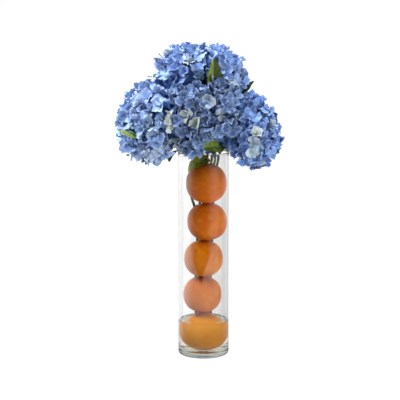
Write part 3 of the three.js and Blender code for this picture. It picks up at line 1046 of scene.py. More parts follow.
@dataclass
class OrangeStack:
    """The oranges, which fill the cylinder's width and rest on one another."""

    vase: GlassVase
    oranges: list[Orange]
    clearance: float = 0.35

    def centres(self) -> list[Array]:
        """Each fruit's middle, from the bottom up: it rests on the shoulder of the fruit under it.

        The rise is (c1 + c2) (1 - hypot(dx / (a1 + a2), dy / (b1 + b2))^n)^(1 / n).

        Returns:
            The middles.
        """
        first = self.oranges[0]
        found = [np.array([*first.lean, self.vase.base + self.clearance + first.half[2]])]
        for below, orange in zip(self.oranges, self.oranges[1:]):
            sizes = np.array(below.half) + np.array(orange.half)
            apart = np.hypot(*((np.array(orange.lean) - np.array(below.lean)) / sizes[:2]))
            rise = sizes[2] * (1 - apart**orange.fullness) ** (1 / orange.fullness) + self.clearance
            found.append(np.array([*orange.lean, found[-1][2] + rise]))
        return found

    def build(self, bench: Bench, cane: Material) -> None:
        """Makes the fruits."""
        for orange, centre in zip(self.oranges, self.centres()):
            orange.build(bench, cane, centre)


# ---------------------------------------------------------------- stems and leaves


@dataclass(frozen=True)
class Leaf:
    """One toothed leaf: its midrib from the stem outward, width, bare share, fold, and where it looks.

    shade_side paints shade on its right half where it is above 0, and on its left half below 0, as on the half
    turned from the light.
    """

    rib: list[Point]
    width: float
    stalk: float
    fold: float
    up: Point
    tone: Colour = (92, 116, 38)
    shade_side: float = 0.0


@dataclass
class LeafyStem:
    """A green stem with its leaves, as one piece."""

    name: str
    path: list[Point]
    leaves: list[Leaf]
    radius: float = 2.9
    sections: int = 150
    sides: int = 16
    rows: int = 73
    columns: int = 17
    thickness: float = 0.7
    lift_off: float = 2.1
    first_joint: float = 30.0
    joints_apart: float = 78.0
    joint_reach: float = 4.0
    joint_swell: float = 0.2
    taper: float = 0.12
    stalk_radii: Range = (1.7, 1.1)
    outline: Range = (0.72, 0.85)
    cupping: float = 1.15
    teeth: int = 17
    tooth_depth: float = 0.11
    quilting: float = 0.045
    groove: Range = (0.35, 0.09)
    wave: Point = (0.09, 2.2, 0.37)
    stalk_shade: float = 1.1
    under_shade: float = 1.15
    old: Colour = (104, 122, 52)
    young: Colour = (122, 146, 66)

    def cane(self) -> Surface:
        """The stem: a tube that swells at its joints, R (0.98 + swell sum exp(-(distance / reach)^2)).

        Returns:
            The stem.
        """
        path = SmoothPath(self.path)
        shares = np.linspace(0, 1, self.sections)
        marks = np.arange(self.first_joint, path.length, self.joints_apart)
        swelling = bell(shares[:, None] * path.length - marks, self.joint_reach).sum(1)
        widths = 0.98 + self.joint_swell * swelling - self.taper * shares
        green = tube(path, shares, self.radius * widths, self.sides)
        tone = blend(linear(*self.old), linear(*self.young), np.repeat(shares, self.sides)[:, None])
        green.tint = tone * (0.88 + 0.16 * ripples(green.points / 60, 7 + len(self.name))[:, None])
        return green

    def blade(self, leaf: Leaf, number: int, stack: OrangeStack) -> Surface:
        """A leaf blade on a grid of its length by its width.

        Its half-width is sin(pi s^0.72)^0.85, cut by forward teeth at the rim. It is folded up along the
        midrib, sinks at the side veins, swells between them and waves at the rim.

        Args:
            leaf: its sizes.
            number: changes the waves from leaf to leaf.
            stack: the oranges, whose top one it keeps clear of.

        Returns:
            The closed blade.
        """
        path = SmoothPath(leaf.rib)
        s = np.linspace(0, 1, self.rows)
        t = np.linspace(-1, 1, self.columns)
        along = leaf.stalk + (1 - leaf.stalk) * s
        middle, forward = path.at(along), path.along(along)
        side = unit(np.cross(forward, np.array(leaf.up, float)))
        normal = unit(np.cross(side, forward))
        foot, tip = self.outline
        half = np.maximum(leaf.width / 2 * np.sin(math.pi * s**foot) ** tip, self.thickness)[:, None]
        tooth = (s * self.teeth) % 1
        across = t[None] * half * (1 - self.tooth_depth * tooth[:, None] * np.abs(t[None]) ** 5)
        off_rib = np.abs(t)[None]
        swept = s[:, None] * LeafFinish.side_veins - off_rib * LeafFinish.sweep
        quilt = np.abs(np.sin(math.pi * swept)) ** 0.6 - 0.75
        inside = smoothstep((1 - off_rib) * 4) * smoothstep(off_rib * 8)
        depth, waves, shift = self.wave
        turns = waves * s[:, None] + shift * number
        wave = depth * np.sin(2 * math.pi * turns + np.sign(t)[None]) * off_rib**2
        relief = half * (wave + self.quilting * quilt * inside)
        lift = off_rib**self.cupping * half * math.sin(leaf.fold) + relief
        lift -= self.groove[0] * bell(off_rib, self.groove[1]) * (half > 2)
        top = middle[:, None] - side[:, None] * (across * math.cos(leaf.fold))[..., None]
        top += normal[:, None] * (lift + self.thickness / 2)[..., None]
        centre = stack.centres()[-1]
        away = top - centre
        distance = np.linalg.norm(away, axis=-1)
        gap = stack.oranges[-1].reach(away) + self.lift_off
        top = centre + away * (np.maximum(gap, distance) / distance)[..., None]
        pale = (0.85 + 0.3 * s)[:, None, None] * (1 - 0.12 * ripples(top / 18, 90 + number))[..., None]
        # Painted shade on the half of the blade that is turned from the light.
        shaded_half = smoothstep(math.copysign(3, leaf.shade_side) * t + 0.5)[None, :, None]
        tone = linear(*leaf.tone) * pale * (1 - abs(leaf.shade_side) * shaded_half)
        uv = np.stack(np.broadcast_arrays(s[:, None], (t[None] + 1) / 2), -1)
        return closed_blades(top[None], self.thickness, uv, tone[None], self.under_shade)

    def build(self, bench: Bench, materials: list[Material], stack: OrangeStack) -> None:
        """Makes the stem and its leaves.

        Args:
            bench: where the piece is made.
            materials: those of a stem and of a blade.
            stack: the oranges, which the leaves keep clear of.
        """
        parts = [self.cane()]
        for number, leaf in enumerate(self.leaves):
            shares = np.linspace(0, leaf.stalk + 0.05, 24)
            stalk = tube(SmoothPath(leaf.rib), shares, np.linspace(*self.stalk_radii, 24), 10)
            parts.append(stalk.painted(linear(*leaf.tone) * self.stalk_shade))
            parts.append(self.blade(leaf, number + len(self.name), stack).dressed(1))
        bench.piece(f"stem_{self.name}_green", joined(parts), materials, f"stem_{self.name}")


BRIGHT, OLIVE, DARK = (134, 158, 54), (96, 118, 36), (66, 86, 24)
LIME, YOUNG = (150, 172, 70), (168, 170, 50)
TL_PATH = [
    (-3.1, 44.3, 16), (-3.1, 44.3, 180), (0.2, 44.2, 233), (0.2, 44, 290), (0.5, 42, 340),
    (8, 31, 388), (4, 20, 430), (-12, 10, 475), (-28, 6, 515), (-38, 4, 545),
]
TR_PATH = [
    (3.1, 44.3, 18), (3.1, 44.3, 180), (6.4, 43.9, 233), (6.5, 42.5, 340), (12, 38.5, 366),
    (17, 34, 388), (23, 24, 430), (29, 17, 480), (33, 13, 520), (35.5, 12, 542),
]
LEFT_PATH = [
    (-15.3, 41.7, 24), (-15.3, 41.7, 180), (-12.1, 42.7, 233), (-14, 42, 262),
    (-18.5, 40, 292), (-23.5, 37.6, 308), (-27, 35, 330), (-25.5, 32, 360),
    (-21, 28, 394), (-32, 12, 428), (-58, -2, 446), (-84, -8, 454),
]
RIGHT_PATH = [
    (15.3, 41.7, 28), (15.3, 41.7, 180), (18.3, 40.4, 233), (21.5, 37.8, 337), (26, 34, 366),
    (30.5, 28, 390), (37.5, 16, 418), (54, 2, 434), (78, -8, 441),
]
FRONT_PATH = [
    (9.3, 43.4, 26), (9.3, 43.4, 180), (12.5, 42.6, 233), (13, 38.7, 338), (16, 36.4, 351),
    (19, 33.5, 366), (23.5, 25.5, 390), (20, 0, 421), (14, -25, 444), (9.5, -48, 464),
]
BACK_PATH = [
    (-9.3, 43.4, 22), (-9.3, 43.4, 180), (-6, 44, 233), (-8.5, 42.6, 345),
    (-8, 41, 396), (-7.5, 47, 432), (-6.5, 58, 456),
]
TL_1 = [(-12, 10, 475), (-8, 40, 512), (-4, 62, 536), (-2, 74, 562), (0, 74, 590)]
TR_1 = [(29, 17, 480), (20, -22, 510), (13.5, -51, 528), (17, -65, 556), (19.5, -64, 593)]
TR_2 = [(32, 14, 512), (58, 14, 516), (84, 12, 528), (99, 9, 545)]
LEFT_1 = [(-32, 12, 428), (-50, -18, 412), (-60, -34, 404), (-66, -50, 392)]
LEFT_2 = [(-58, -2, 446), (-98, -48, 440), (-134, -72, 442), (-163, -78, 456)]
RIGHT_1 = [(37.5, 16, 418), (52, -40, 436), (50, -84, 446), (40, -112, 468)]
RIGHT_2 = [(36.5, 18, 415), (45, -4, 414), (52, -26, 415), (60, -46, 424)]
FRONT_1 = [(22.5, 14, 406), (27, -24, 415), (31, -48, 421), (18, -61, 424), (-5, -64, 418)]
FRONT_2 = [(20.5, 4, 417), (4, -28, 413), (-1, -48, 414.5), (-4, -61, 424), (-5, -66, 435)]
FRONT_3 = [(20.5, 31, 374), (12, 14, 389), (-3, -6, 390), (-18, -18, 382), (-30, -24, 370)]
BACK_1 = [(-7.5, 47, 432), (-20, 56, 418), (-34, 72, 408), (-46, 88, 388)]
BACK_2 = [(-7.8, 43, 418), (14, 54, 415), (34, 68, 412), (52, 80, 396)]
TL_LEAVES = [Leaf(TL_1, 44, 0.5, 0.34, (0, 1, 0.4))]
TR_LEAVES = [
    Leaf(TR_1, 52, 0.46, 0.34, (0.7, -0.7, 0.3), BRIGHT, -0.8),
    Leaf(TR_2, 30, 0.5, 0.3, (-0.6, -0.6, 1), DARK),
]
LEFT_LEAVES = [
    Leaf(LEFT_1, 26, 0.5, 0.3, (-0.7, -0.5, 0.7)),
    Leaf(LEFT_2, 22, 0.6, 0.4, (0.1, -0.35, 1), LIME),
]
RIGHT_LEAVES = [
    Leaf(RIGHT_1, 16, 0.6, 0.3, (0.5, 0.2, 1), LIME),
    Leaf(RIGHT_2, 24, 0.4, 0.35, (0.2, 0.3, 1), DARK),
]
FRONT_LEAVES = [
    Leaf(FRONT_1, 34, 0.56, 0.25, (0, -1, 0.6), BRIGHT, 0.3),
    Leaf(FRONT_2, 24, 0.5, 0.35, (-0.25, 0.5, 1), LIME),
    Leaf(FRONT_3, 34, 0.34, 0.2, (-0.1, -0.7, 0.7), YOUNG),
]
BACK_LEAVES = [
    Leaf(BACK_1, 50, 0.3, 0.28, (-0.2, 0.6, 1), OLIVE),
    Leaf(BACK_2, 44, 0.3, 0.3, (0.3, 0.6, 1)),
]
STEMS = [
    LeafyStem("top_left", TL_PATH, TL_LEAVES),
    LeafyStem("top_right", TR_PATH, TR_LEAVES),
    LeafyStem("left", LEFT_PATH, LEFT_LEAVES),
    LeafyStem("right", RIGHT_PATH, RIGHT_LEAVES),
    LeafyStem("front", FRONT_PATH, FRONT_LEAVES),
    LeafyStem("back", BACK_PATH, BACK_LEAVES),
]


# ---------------------------------------------------------------- flower heads


@dataclass(frozen=True)
class Limit:
    """A plane that petals are pressed back from: its normal points to the side that they keep out of.

    Past the start of the squeeze zone, a depth d becomes room (1 - exp(-d / room)). A gap below 0 lets petals
    pass the plane by so much, so that those of two heads mingle.
    """

    normal: Array
    offset: float
    squeeze: float = 8.0
    gap: float = -7.0


def outer_limits() -> list[Limit]:
    """The sides and top of the solids' own box, which the petals stay within.

    Returns:
        One plane for the top and one for each side.
    """
    low, high = (np.array(corner) / MM for corner in CAD_BOX)
    axes = np.eye(3)
    top_squeeze, side_squeeze, gap = 14.0, 6.0, 0.8
    walls = [Limit(axes[k], float(high[k]), top_squeeze if k == 2 else side_squeeze, gap) for k in range(3)]
    return walls + [Limit(-axes[k], float(-low[k]), side_squeeze, gap) for k in range(2)]


def pressed(points: Array, limits: list[Limit]) -> Array:
    """Points pressed back from planes; a later round only sees to it that none has been pushed past another.

    Args:
        points: the points.
        limits: the planes.

    Returns:
        The pressed points.
    """
    points = points.copy()
    for step in range(4):
        for limit in limits:
            room = limit.squeeze - limit.gap
            past = points @ limit.normal - limit.offset + limit.squeeze
            eased = room * (1 - np.exp(-np.maximum(past, 0) / room)) if step == 0 else np.minimum(past, room)
            points += np.where(past > 0, eased - past, 0)[..., None] * limit.normal
    return points


@dataclass(frozen=True)
class PalePatch:
    """A small ball in which florets are blended towards its colour; the cream-green ones are young florets, and
    others are a paler blue.
    """

    centre: Point
    radius: float
    colour: Colour = (222, 228, 168)
    share: float = 0.52


PALE_PATCHES = [
    PalePatch((-35, -53, 589), 12),
    PalePatch((-45, -52, 531), 14, (190, 206, 226)),
    PalePatch((-21, -120, 480), 19),
    PalePatch((-60, -96, 470), 13),
    PalePatch((-101, -88, 455), 14, (186, 200, 190)),
    PalePatch((-67, -80, 440), 13),
    PalePatch((111, -79, 449), 13),
    PalePatch((51, -39, 534), 14, (200, 208, 196)),
    PalePatch((78, -21, 560), 15, (180, 198, 226)),
    PalePatch((-102, -66, 408), 20, (196, 206, 220)),
    PalePatch((92, -70, 405), 18, (186, 202, 220)),
    PalePatch((60, 90, 480), 16, (200, 208, 190)),
    PalePatch((-110, 50, 470), 16, (196, 206, 176)),
    PalePatch((10, 128, 470), 16),
]


@dataclass(frozen=True)
class FloretRule:
    """Sizes of the four-petalled florets, their colours, the way they overlap and how they crowd a head.

    Pairs are the ends of even random ranges. inner holds the inner layer's spacing as a share of the outer
    one's, how much deeper it lies, and its painted shade, the share of the outer florets' colour that it keeps.
    claw is a petal's width share at its foot and where that is full, bead_size a bead's radius and lift, and
    drift a colour's mean and swing over drift_reach.
    """

    radius: float = 15.5
    spacing: float = 18.3
    inset: float = 11.5
    inner: Point = (1.3, 11.0, 0.9)
    layer: float = 3.5
    uneven: Range = (-1.5, 1.5)
    tilt: Range = (-1.15, 1.15)
    down_to: float = math.radians(130)
    rows: int = 8
    columns: int = 5
    thickness: float = 0.35
    floret_length: Range = (0.82, 1.15)
    length: Range = (0.86, 1.1)
    width: Range = (0.44, 0.62)
    floret_rise: Range = (0.0, 1.3)
    rise: Range = (-0.4, 0.45)
    bend: Range = (0.05, 0.8)
    fold: Range = (-0.5, 0.95)
    end: float = 0.995
    start: float = 0.05
    curl_in: float = 0.2
    cupping: float = 1.4
    claw: Range = (0.2, 0.55)
    widest: float = 0.52
    tip: float = 0.75
    ruffle: float = 0.14
    ruffles: Range = (1.2, 2.2)
    slant: Range = (-0.45, 0.45)
    aside: Range = (-0.16, 0.16)
    overlap: float = 0.8
    shade: Range = (0.74, 1.18)
    under_shade: float = 0.82
    # The petals' pale rims are partly their own paler edges and partly a painted highlight along them.
    rim: Colour = (206, 224, 252)
    rim_highlight_share: float = 0.46
    rim_highlight_curve: Range = (2.4, 2.5)
    eye: Colour = (176, 196, 188)
    eye_size: float = 0.16
    eye_share: float = 0.5
    bead: Colour = (206, 216, 206)
    bead_share: float = 0.5
    bead_size: Range = (1.5, 1.1)
    stalk: Colour = (140, 162, 176)
    stalk_radius: float = 1.1
    stalk_from: float = 0.55
    drift: Range = (0.42, 0.55)
    drift_reach: float = 80.0
    speckle: Range = (-0.45, 0.45)
    mid: Colour = (54, 104, 190)
    light: Colour = (130, 176, 242)
    lilac: Colour = (128, 140, 208)
    lilac_share: float = 0.03
    pale: Colour = (178, 206, 250)
    stray: Colour = (206, 216, 190)
    stray_share: float = 0.04
    stray_blend: float = 0.5
    # The core is a sheet that stands for the stalks and shade deep in the head; its tint is painted shade for
    # that depth.
    core: Colour = (112, 152, 218)


@dataclass(frozen=True)
class Mophead:
    """One round head: its middle, its crown's direction, its half-sizes along the crown and across, its seed.

    bare is a ball (x, y, z, radius) without florets. paleness is a share of a paler blue, partly the florets'
    own paler colour and partly painted light; below 0 it dims the whole head as painted shade.
    """

    name: str
    centre: Point
    faces: Point
    reach: float
    girth: float
    seed: int
    bare: tuple[float, float, float, float] | None = None
    paleness_and_painted_light: float = 0.0

    @property
    def middle(self) -> Array:
        """The centre as an array."""
        return np.array(self.centre, float)

    @property
    def size(self) -> Array:
        """The half-sizes along the head's own axes."""
        return np.array([self.girth, self.girth, self.reach], float)

    def axes(self) -> Array:
        """The head's own axes.

        Returns:
            Two directions across and the crown's direction, as rows.
        """
        crown = unit(np.array(self.faces, float))
        side = unit(np.cross(crown, [0.31, 0.87, 0.23]))
        return np.stack([side, np.cross(crown, side), crown])

    def outside(self, points: Array) -> Array:
        """Roughly how far points are outside the head's ellipsoid, in millimetres, and negative inside it."""
        own = (points - self.middle) @ self.axes().T / self.size
        return (np.linalg.norm(own, axis=-1) - 1) * self.girth


# The heads' last numbers paint light on the left and top heads, partly their florets' own paleness, and painted
# shade on the front head.
HEADS = [
    Mophead("top_left", (-31, 3, 551), (-0.3, -0.15, 1), 60, 55, 11, paleness_and_painted_light=0.3),
    Mophead("top_right", (22, 9, 547), (0.3, -0.05, 1), 58, 52, 23, paleness_and_painted_light=0.3),
    Mophead("left", (-98, -10, 461), (-1, -0.25, 0.6), 72, 75, 37, paleness_and_painted_light=0.7),
    Mophead("right", (88, -10, 450), (1, -0.25, 0.7), 59, 73, 41, paleness_and_painted_light=0.1),
    Mophead("front", (1, -63, 476), (0.1, -1, 0.3), 60, 68, 53, (34, -90, 410, 46), -0.47),
    Mophead("back", (-6, 65, 470), (-0.05, 1, 0.35), 63, 69, 67),
]


@dataclass
class Florets:
    """One layer of a head's florets: places, the ways they face, colours, and the planes they keep within."""

    places: Array
    facing: Array
    colours: Array
    limits: list[Limit]


@dataclass
class Bouquet:
    """All the heads, whose florets stand on one soft skin over all of them, on thin stalks out of dim cores.

    off_glass is how far petals stay from the vase's side and rim, and heads are neighbours when their balls
    come within near. search is where along a ray the skin is looked for, as shares of the head's size.
    """

    vase: GlassVase
    heads: list[Mophead]
    rule: FloretRule = FloretRule()
    core_depth: float = 26.0
    core_gap: float = 1.0
    core_lumps: Range = (0.05, 3.0)
    merge: float = 24.0
    search: Range = (0.9, 1.35)
    halvings: int = 18
    off_glass: Range = (0.6, 0.8)
    off_border: float = 0.5
    near: float = 4.0

    def clear_of_vase(self, points: Array) -> Array:
        """Moves points out of the vase's cylinder by the shorter way, out through its side or up over its rim.

        Args:
            points: the points.

        Returns:
            The points, none of them inside the vase.
        """
        reach, top = self.vase.radius + self.off_glass[0], self.vase.height + self.off_glass[1]
        from_axis = np.linalg.norm(points[..., :2], axis=-1)
        out, up = reach - from_axis, top - points[..., 2]
        inside = (out > 0) & (up > 0)
        sideways = inside & (out < up)
        moved = points.copy()
        moved[..., :2] *= np.where(sideways, reach / np.maximum(from_axis, 1e-6), 1)[..., None]
        moved[..., 2] = np.where(inside & ~sideways, top, moved[..., 2])
        return moved

    def borders(self, head: Mophead) -> list[Limit]:
        """The planes to a head's neighbours, where the two balls would meet.

        Args:
            head: the head.

        Returns:
            One plane for each neighbour that is near enough.
        """
        found = []
        for other in self.heads:
            across = other.middle - head.middle
            apart = float(np.linalg.norm(across))
            if other.name == head.name:
                continue
            share = (apart**2 + head.girth**2 - other.girth**2) / (2 * apart)
            if share < max(head.girth, head.reach) + self.near:
                normal = across / apart
                found.append(Limit(normal, float(normal @ head.middle) + share))
        return found

    def skin(self, points: Array) -> Array:
        """The soft union of all the ellipsoids at some points, -merge log(sum exp(-outside / merge)).

        It is zero on a skin that also fills the clefts between the heads, as loose florets fill them.
        """
        return -self.merge * np.log(sum(np.exp(-head.outside(points) / self.merge) for head in self.heads))

    def on_skin(self, head: Mophead, directions: Array) -> Array:
        """Where rays from a head's middle reach the skin, found by halving.

        Args:
            head: the head.
            directions: the rays, on the head's own unit ball.

        Returns:
            A place for each ray.
        """
        ray = directions * head.size @ head.axes()
        low, high = (np.full(len(ray), share) for share in self.search)
        for _ in range(self.halvings):
            half = (low + high) / 2
            inside = self.skin(head.middle + ray * half[:, None]) < 0
            low, high = np.where(inside, half, low), np.where(inside, high, half)
        return head.middle + ray * low[:, None]

    def places(self, head: Mophead, random: Random, spacing: float, inset: float) -> tuple[Array, Array]:
        """Floret places on the skin, by the golden angle from a head's crown down.

        Floret i of n lies at cos(polar) = 1 - 2 (i + 1/2) / n and azimuth i times the golden angle. It is
        carried out along its own ray to the skin, whose gradient is the way it faces.

        Args:
            head: the head.
            random: its own random numbers.
            spacing: the distance between neighbours.
            inset: how far under the skin they lie.

        Returns:
            Their places and outward directions.
        """
        whole = round(4 * math.pi * head.girth * head.reach / (spacing**2 * ROW_STEP))
        i = np.arange(whole)
        cosine = 1 - 2 * (i + 0.5) / whole
        i = i[np.arccos(cosine) < self.rule.down_to]
        cosine, sine = cosine[i], np.sqrt(1 - cosine[i] ** 2)
        azimuth = i * GOLDEN_ANGLE + random.uniform(0, 2 * math.pi)
        found = self.on_skin(head, np.stack([sine * np.cos(azimuth), sine * np.sin(azimuth), cosine], -1))
        slopes = [self.skin(found + step) - self.skin(found - step) for step in np.eye(3) * 0.5]
        normal = unit(np.stack(slopes, -1))
        depth = inset + self.rule.layer * ((i % 3) - 1) + random.uniform(*self.rule.uneven, len(i))
        return found - normal * depth[:, None], normal

    def colours(self, head: Mophead, places: Array, random: Random) -> Array:
        """One colour for each floret: blue drifting from mid to light, with pale and lilac ones among them.

        Args:
            head: the head.
            places: the florets' places.
            random: the head's own random numbers.

        Returns:
            The colours.
        """
        rule, count = self.rule, len(places)
        mean, swing = rule.drift
        drift = mean + swing * ripples(places / rule.drift_reach, 3) + random.uniform(*rule.speckle, count)
        tone = blend(linear(*rule.mid), linear(*rule.light), np.clip(drift, 0, 1)[:, None])
        lilac = (random.uniform(size=count) < rule.lilac_share)[:, None]
        tone = np.where(lilac, linear(*rule.lilac), tone)
        # Painted light and shade for each head: a paler blue that is partly the florets' own paleness, and
        # below 0 a painted shade that dims the head.
        tone = blend(tone, linear(*rule.pale), max(head.paleness_and_painted_light, 0)) * (1 + min(head.paleness_and_painted_light, 0))
        for patch in PALE_PATCHES:
            near = np.linalg.norm(places - np.array(patch.centre), axis=-1, keepdims=True) < patch.radius
            tone = np.where(near, blend(tone, linear(*patch.colour), patch.share), tone)
        stray = (random.uniform(size=count) < rule.stray_share)[:, None]
        return np.where(stray, blend(tone, linear(*rule.stray), rule.stray_blend), tone)

    def petals(self, florets: Florets, random: Random) -> Surface:
        """Four petals for each floret, every one a grid of its length s by its width t.

        A petal's half-width grows from a narrow claw and closes in a round tip. Along its length it rises and
        then bends back, rise s - bend s^2. Across, it folds up from its midrib and its edges are ruffled by a
        sine wave whose height grows with the square of the width.

        Args:
            florets: the florets.
            random: the head's own random numbers.

        Returns:
            All the petals as one surface.
        """
        rule, count = self.rule, len(florets.places)
        s = rule.end * np.sin(math.pi / 2 * np.linspace(0, 1, rule.rows))[:, None]
        t = np.linspace(-1, 1, rule.columns)[None]
        narrow, full = rule.claw
        claw = narrow + (1 - narrow) * smoothstep(s / full)
        round_tip = np.clip(1 - ((s - rule.widest) / (1 - rule.widest)) ** 2, 0, 1) ** rule.tip
        outline = np.where(s < rule.widest, claw, round_tip)

        def each(low: float, high: float, share: int = 4) -> Array:
            """A random number for each petal, or for each floret, shaped to spread over grids."""
            return random.uniform(low, high, (count, share))[:, :, None, None]

        length = rule.radius * each(*rule.floret_length, 1) * each(*rule.length)
        width = length * each(*rule.width)
        rise, bend = each(*rule.floret_rise, 1) + each(*rule.rise), each(*rule.bend)
        curled = 1 - rule.curl_in * np.clip(rise, 0, rule.floret_rise[1]) ** 2
        along = length * (s + rule.start) * curled
        across = width * outline * t
        folded = width * each(*rule.fold) * np.abs(t) ** rule.cupping * outline
        height = length * (rise * s - bend * s**2) + folded
        wave = 2 * math.pi * (each(*rule.ruffles) * s + each(0, 1) + np.sign(t) * each(0, 0.4))
        height = height + rule.ruffle * length * np.sin(wave) * t**2 * smoothstep(s * 2)
        lifted = np.array([0.0, rule.overlap, 0.0, rule.overlap])[None, :, None, None]
        height = height + each(*rule.slant) * across + lifted
        angle = (np.arange(4) * math.pi / 2)[None, :, None, None] + each(*rule.aside)
        local_x = along * np.cos(angle) - across * np.sin(angle)
        local_y = along * np.sin(angle) + across * np.cos(angle)
        spin = random.uniform(0, math.pi, count)[:, None]
        u, v = two_across(florets.facing)
        turned_u = u * np.cos(spin) + v * np.sin(spin)
        turned_v = np.cross(florets.facing, turned_u)
        world = florets.places[:, None, None, None] + sum(
            part[..., None] * axis[:, None, None, None]
            for part, axis in ((local_x, turned_u), (local_y, turned_v), (height, florets.facing))
        )
        world = self.clear_of_vase(pressed(world, florets.limits))
        # Paler petal edges: partly the petals' own colour and partly a painted highlight along the rims.
        side_curve, rise_rate = rule.rim_highlight_curve
        rim = np.clip(np.abs(t) ** side_curve * smoothstep(s * rise_rate) + s**6, 0, 1)[..., None]
        eye = bell(s, rule.eye_size)[..., None]
        tone = florets.colours[:, None, None, None] * each(*rule.shade)[..., None]
        tint = blend(tone, blend(tone, linear(*rule.rim), rule.rim_highlight_share), rim)
        tint = np.broadcast_to(blend(tint, linear(*rule.eye), eye * rule.eye_share), world.shape)
        uv = np.stack(np.broadcast_arrays(s, (t + 1) / 2), -1)
        grid = (count * 4, rule.rows, rule.columns, 3)
        return closed_blades(world.reshape(grid), rule.thickness, uv, tint.reshape(grid), rule.under_shade)

    def beads(self, florets: Florets) -> Surface:
        """A small round bud in the middle of each floret.

        Args:
            florets: the florets.

        Returns:
            All the buds as one surface.
        """
        bead, count = ball(4, 6), len(florets.places)
        radius, lift = self.rule.bead_size
        middles = florets.places + florets.facing * lift
        points = pressed(middles[:, None] + bead.points[None] * radius, florets.limits)
        corners = len(bead.points)
        faces = [copied(f, count, corners) for f, _ in bead.faces]
        colours = blend(florets.colours, linear(*self.rule.bead), self.rule.bead_share)
        tint = np.repeat(colours, corners, axis=0)
        return plain(points.reshape(-1, 3), faces, np.tile(bead.uv, (count, 1)), tint)

    def stalks(self, florets: Florets, middle: Array) -> Surface:
        """A thin four-sided stalk under each floret that tapers to a point towards the head's middle.

        Args:
            florets: the florets.
            middle: the head's middle.

        Returns:
            All the stalks as one surface.
        """
        places, count, radius = florets.places, len(florets.places), self.rule.stalk_radius
        u, v = two_across(florets.facing)
        ring = np.stack([places + w * radius for w in (u, v, -u, -v)], 1)
        points = np.concatenate([ring, blend(middle, places, self.rule.stalk_from)[:, None]], 1)
        points = self.clear_of_vase(pressed(points, florets.limits))
        sides, cap = np.array([[1, 0, 4], [2, 1, 4], [3, 2, 4], [0, 3, 4]]), np.array([[0, 1, 2, 3]])
        stalks = plain(points.reshape(-1, 3), [copied(f, count, 5) for f in (sides, cap)])
        return stalks.painted(linear(*self.rule.stalk))

    def core(self, head: Mophead) -> Surface:
        """A head's dim middle, core_depth under the skin with small lumps, and clear of its neighbours. It is a
        solid sheet where the real head has stalks and shade, a painted shade for the head's depth.

        Args:
            head: the head.

        Returns:
            The core.
        """
        core = ball(48, 64)
        out = self.on_skin(head, core.points) - head.middle
        distance = np.linalg.norm(out, axis=-1, keepdims=True)
        height, fineness = self.core_lumps
        lumps = 1 + height * ripples(core.points * fineness, head.seed)[:, None]
        points = head.middle + out * (1 - self.core_depth / distance) * lumps
        limits = [replace(limit, gap=self.core_gap) for limit in self.borders(head)]
        core.points = self.clear_of_vase(pressed(points, limits))
        if head.bare:
            away = core.points - np.array(head.bare[:3])
            distance = np.linalg.norm(away, axis=-1, keepdims=True)
            core.points += away / distance * np.maximum(head.bare[3] - distance, 0)
        return core.painted(linear(*self.rule.core))

    def layer(self, head: Mophead, spacing: float, inset: float, shade: float, salt: int) -> list[Surface]:
        """One layer of florets over a head.

        Args:
            head: the head.
            spacing: the distance between neighbours.
            inset: how far under the skin they lie.
            shade: their colour as a share of the outer florets' colour, a painted shade for a deeper layer.
            salt: changes the random numbers from layer to layer.

        Returns:
            Petals in finish 0, and beads and stalks in finish 1.
        """
        random = np.random.default_rng(head.seed * 100 + salt)
        places, normals = self.places(head, random, spacing, inset)
        facing = unit(normals + random.uniform(*self.rule.tilt, normals.shape))
        between = self.borders(head)
        keep = np.ones(len(places), bool)
        for limit in between:
            keep &= places @ limit.normal < limit.offset - self.off_border
        if head.bare:
            keep &= np.linalg.norm(places - np.array(head.bare[:3]), axis=-1) > head.bare[3]
        colours = self.colours(head, places[keep], random) * shade
        florets = Florets(places[keep], facing[keep], colours, between + outer_limits())
        small = [self.beads(florets), self.stalks(florets, head.middle)]
        return [self.petals(florets, random)] + [part.dressed(1) for part in small]

    def build(self, bench: Bench, materials: list[Material]) -> None:
        """Makes the heads.

        Args:
            bench: where the pieces are made.
            materials: those of petals and of stalks.
        """
        rule = self.rule
        wider, deeper, inner_painted_shade = rule.inner
        for head in self.heads:
            parts = self.layer(head, rule.spacing, rule.inset, 1.0, 1)
            # The inner layer's colour is dimmed as painted shade for the depth of the head.
            parts += self.layer(head, rule.spacing * wider, rule.inset + deeper, inner_painted_shade, 2)
            parts.append(self.core(head).dressed(1))
            bench.piece(f"head_{head.name}_florets", joined(parts), materials, f"head_{head.name}")


# ---------------------------------------------------------------- studio


@dataclass(frozen=True)
class Softbox:
    """A soft rectangular lamp: its place, aim, width and height, its brightness and its beam's spread."""

    name: str
    place: Point
    aim: Point
    width: float
    height: float
    brightness: float
    spread: float = math.pi

    def build(self) -> None:
        """Makes the lamp, whose power is brightness times pi times its area."""
        light = bpy.data.lights.new(self.name, "AREA")
        light.shape, light.size, light.size_y = "RECTANGLE", self.width, self.height
        light.energy = self.brightness * math.pi * self.width * self.height
        light.spread = self.spread
        lamp = stood(self.name, light)
        lamp.location = self.place
        lamp.visible_camera = lamp.visible_glossy = lamp.visible_transmission = False
        aim = np.array(self.aim) - np.array(self.place)
        lamp.rotation_euler = (math.atan2(math.hypot(aim[0], aim[1]), -aim[2]), 0, math.atan2(-aim[0], aim[1]))


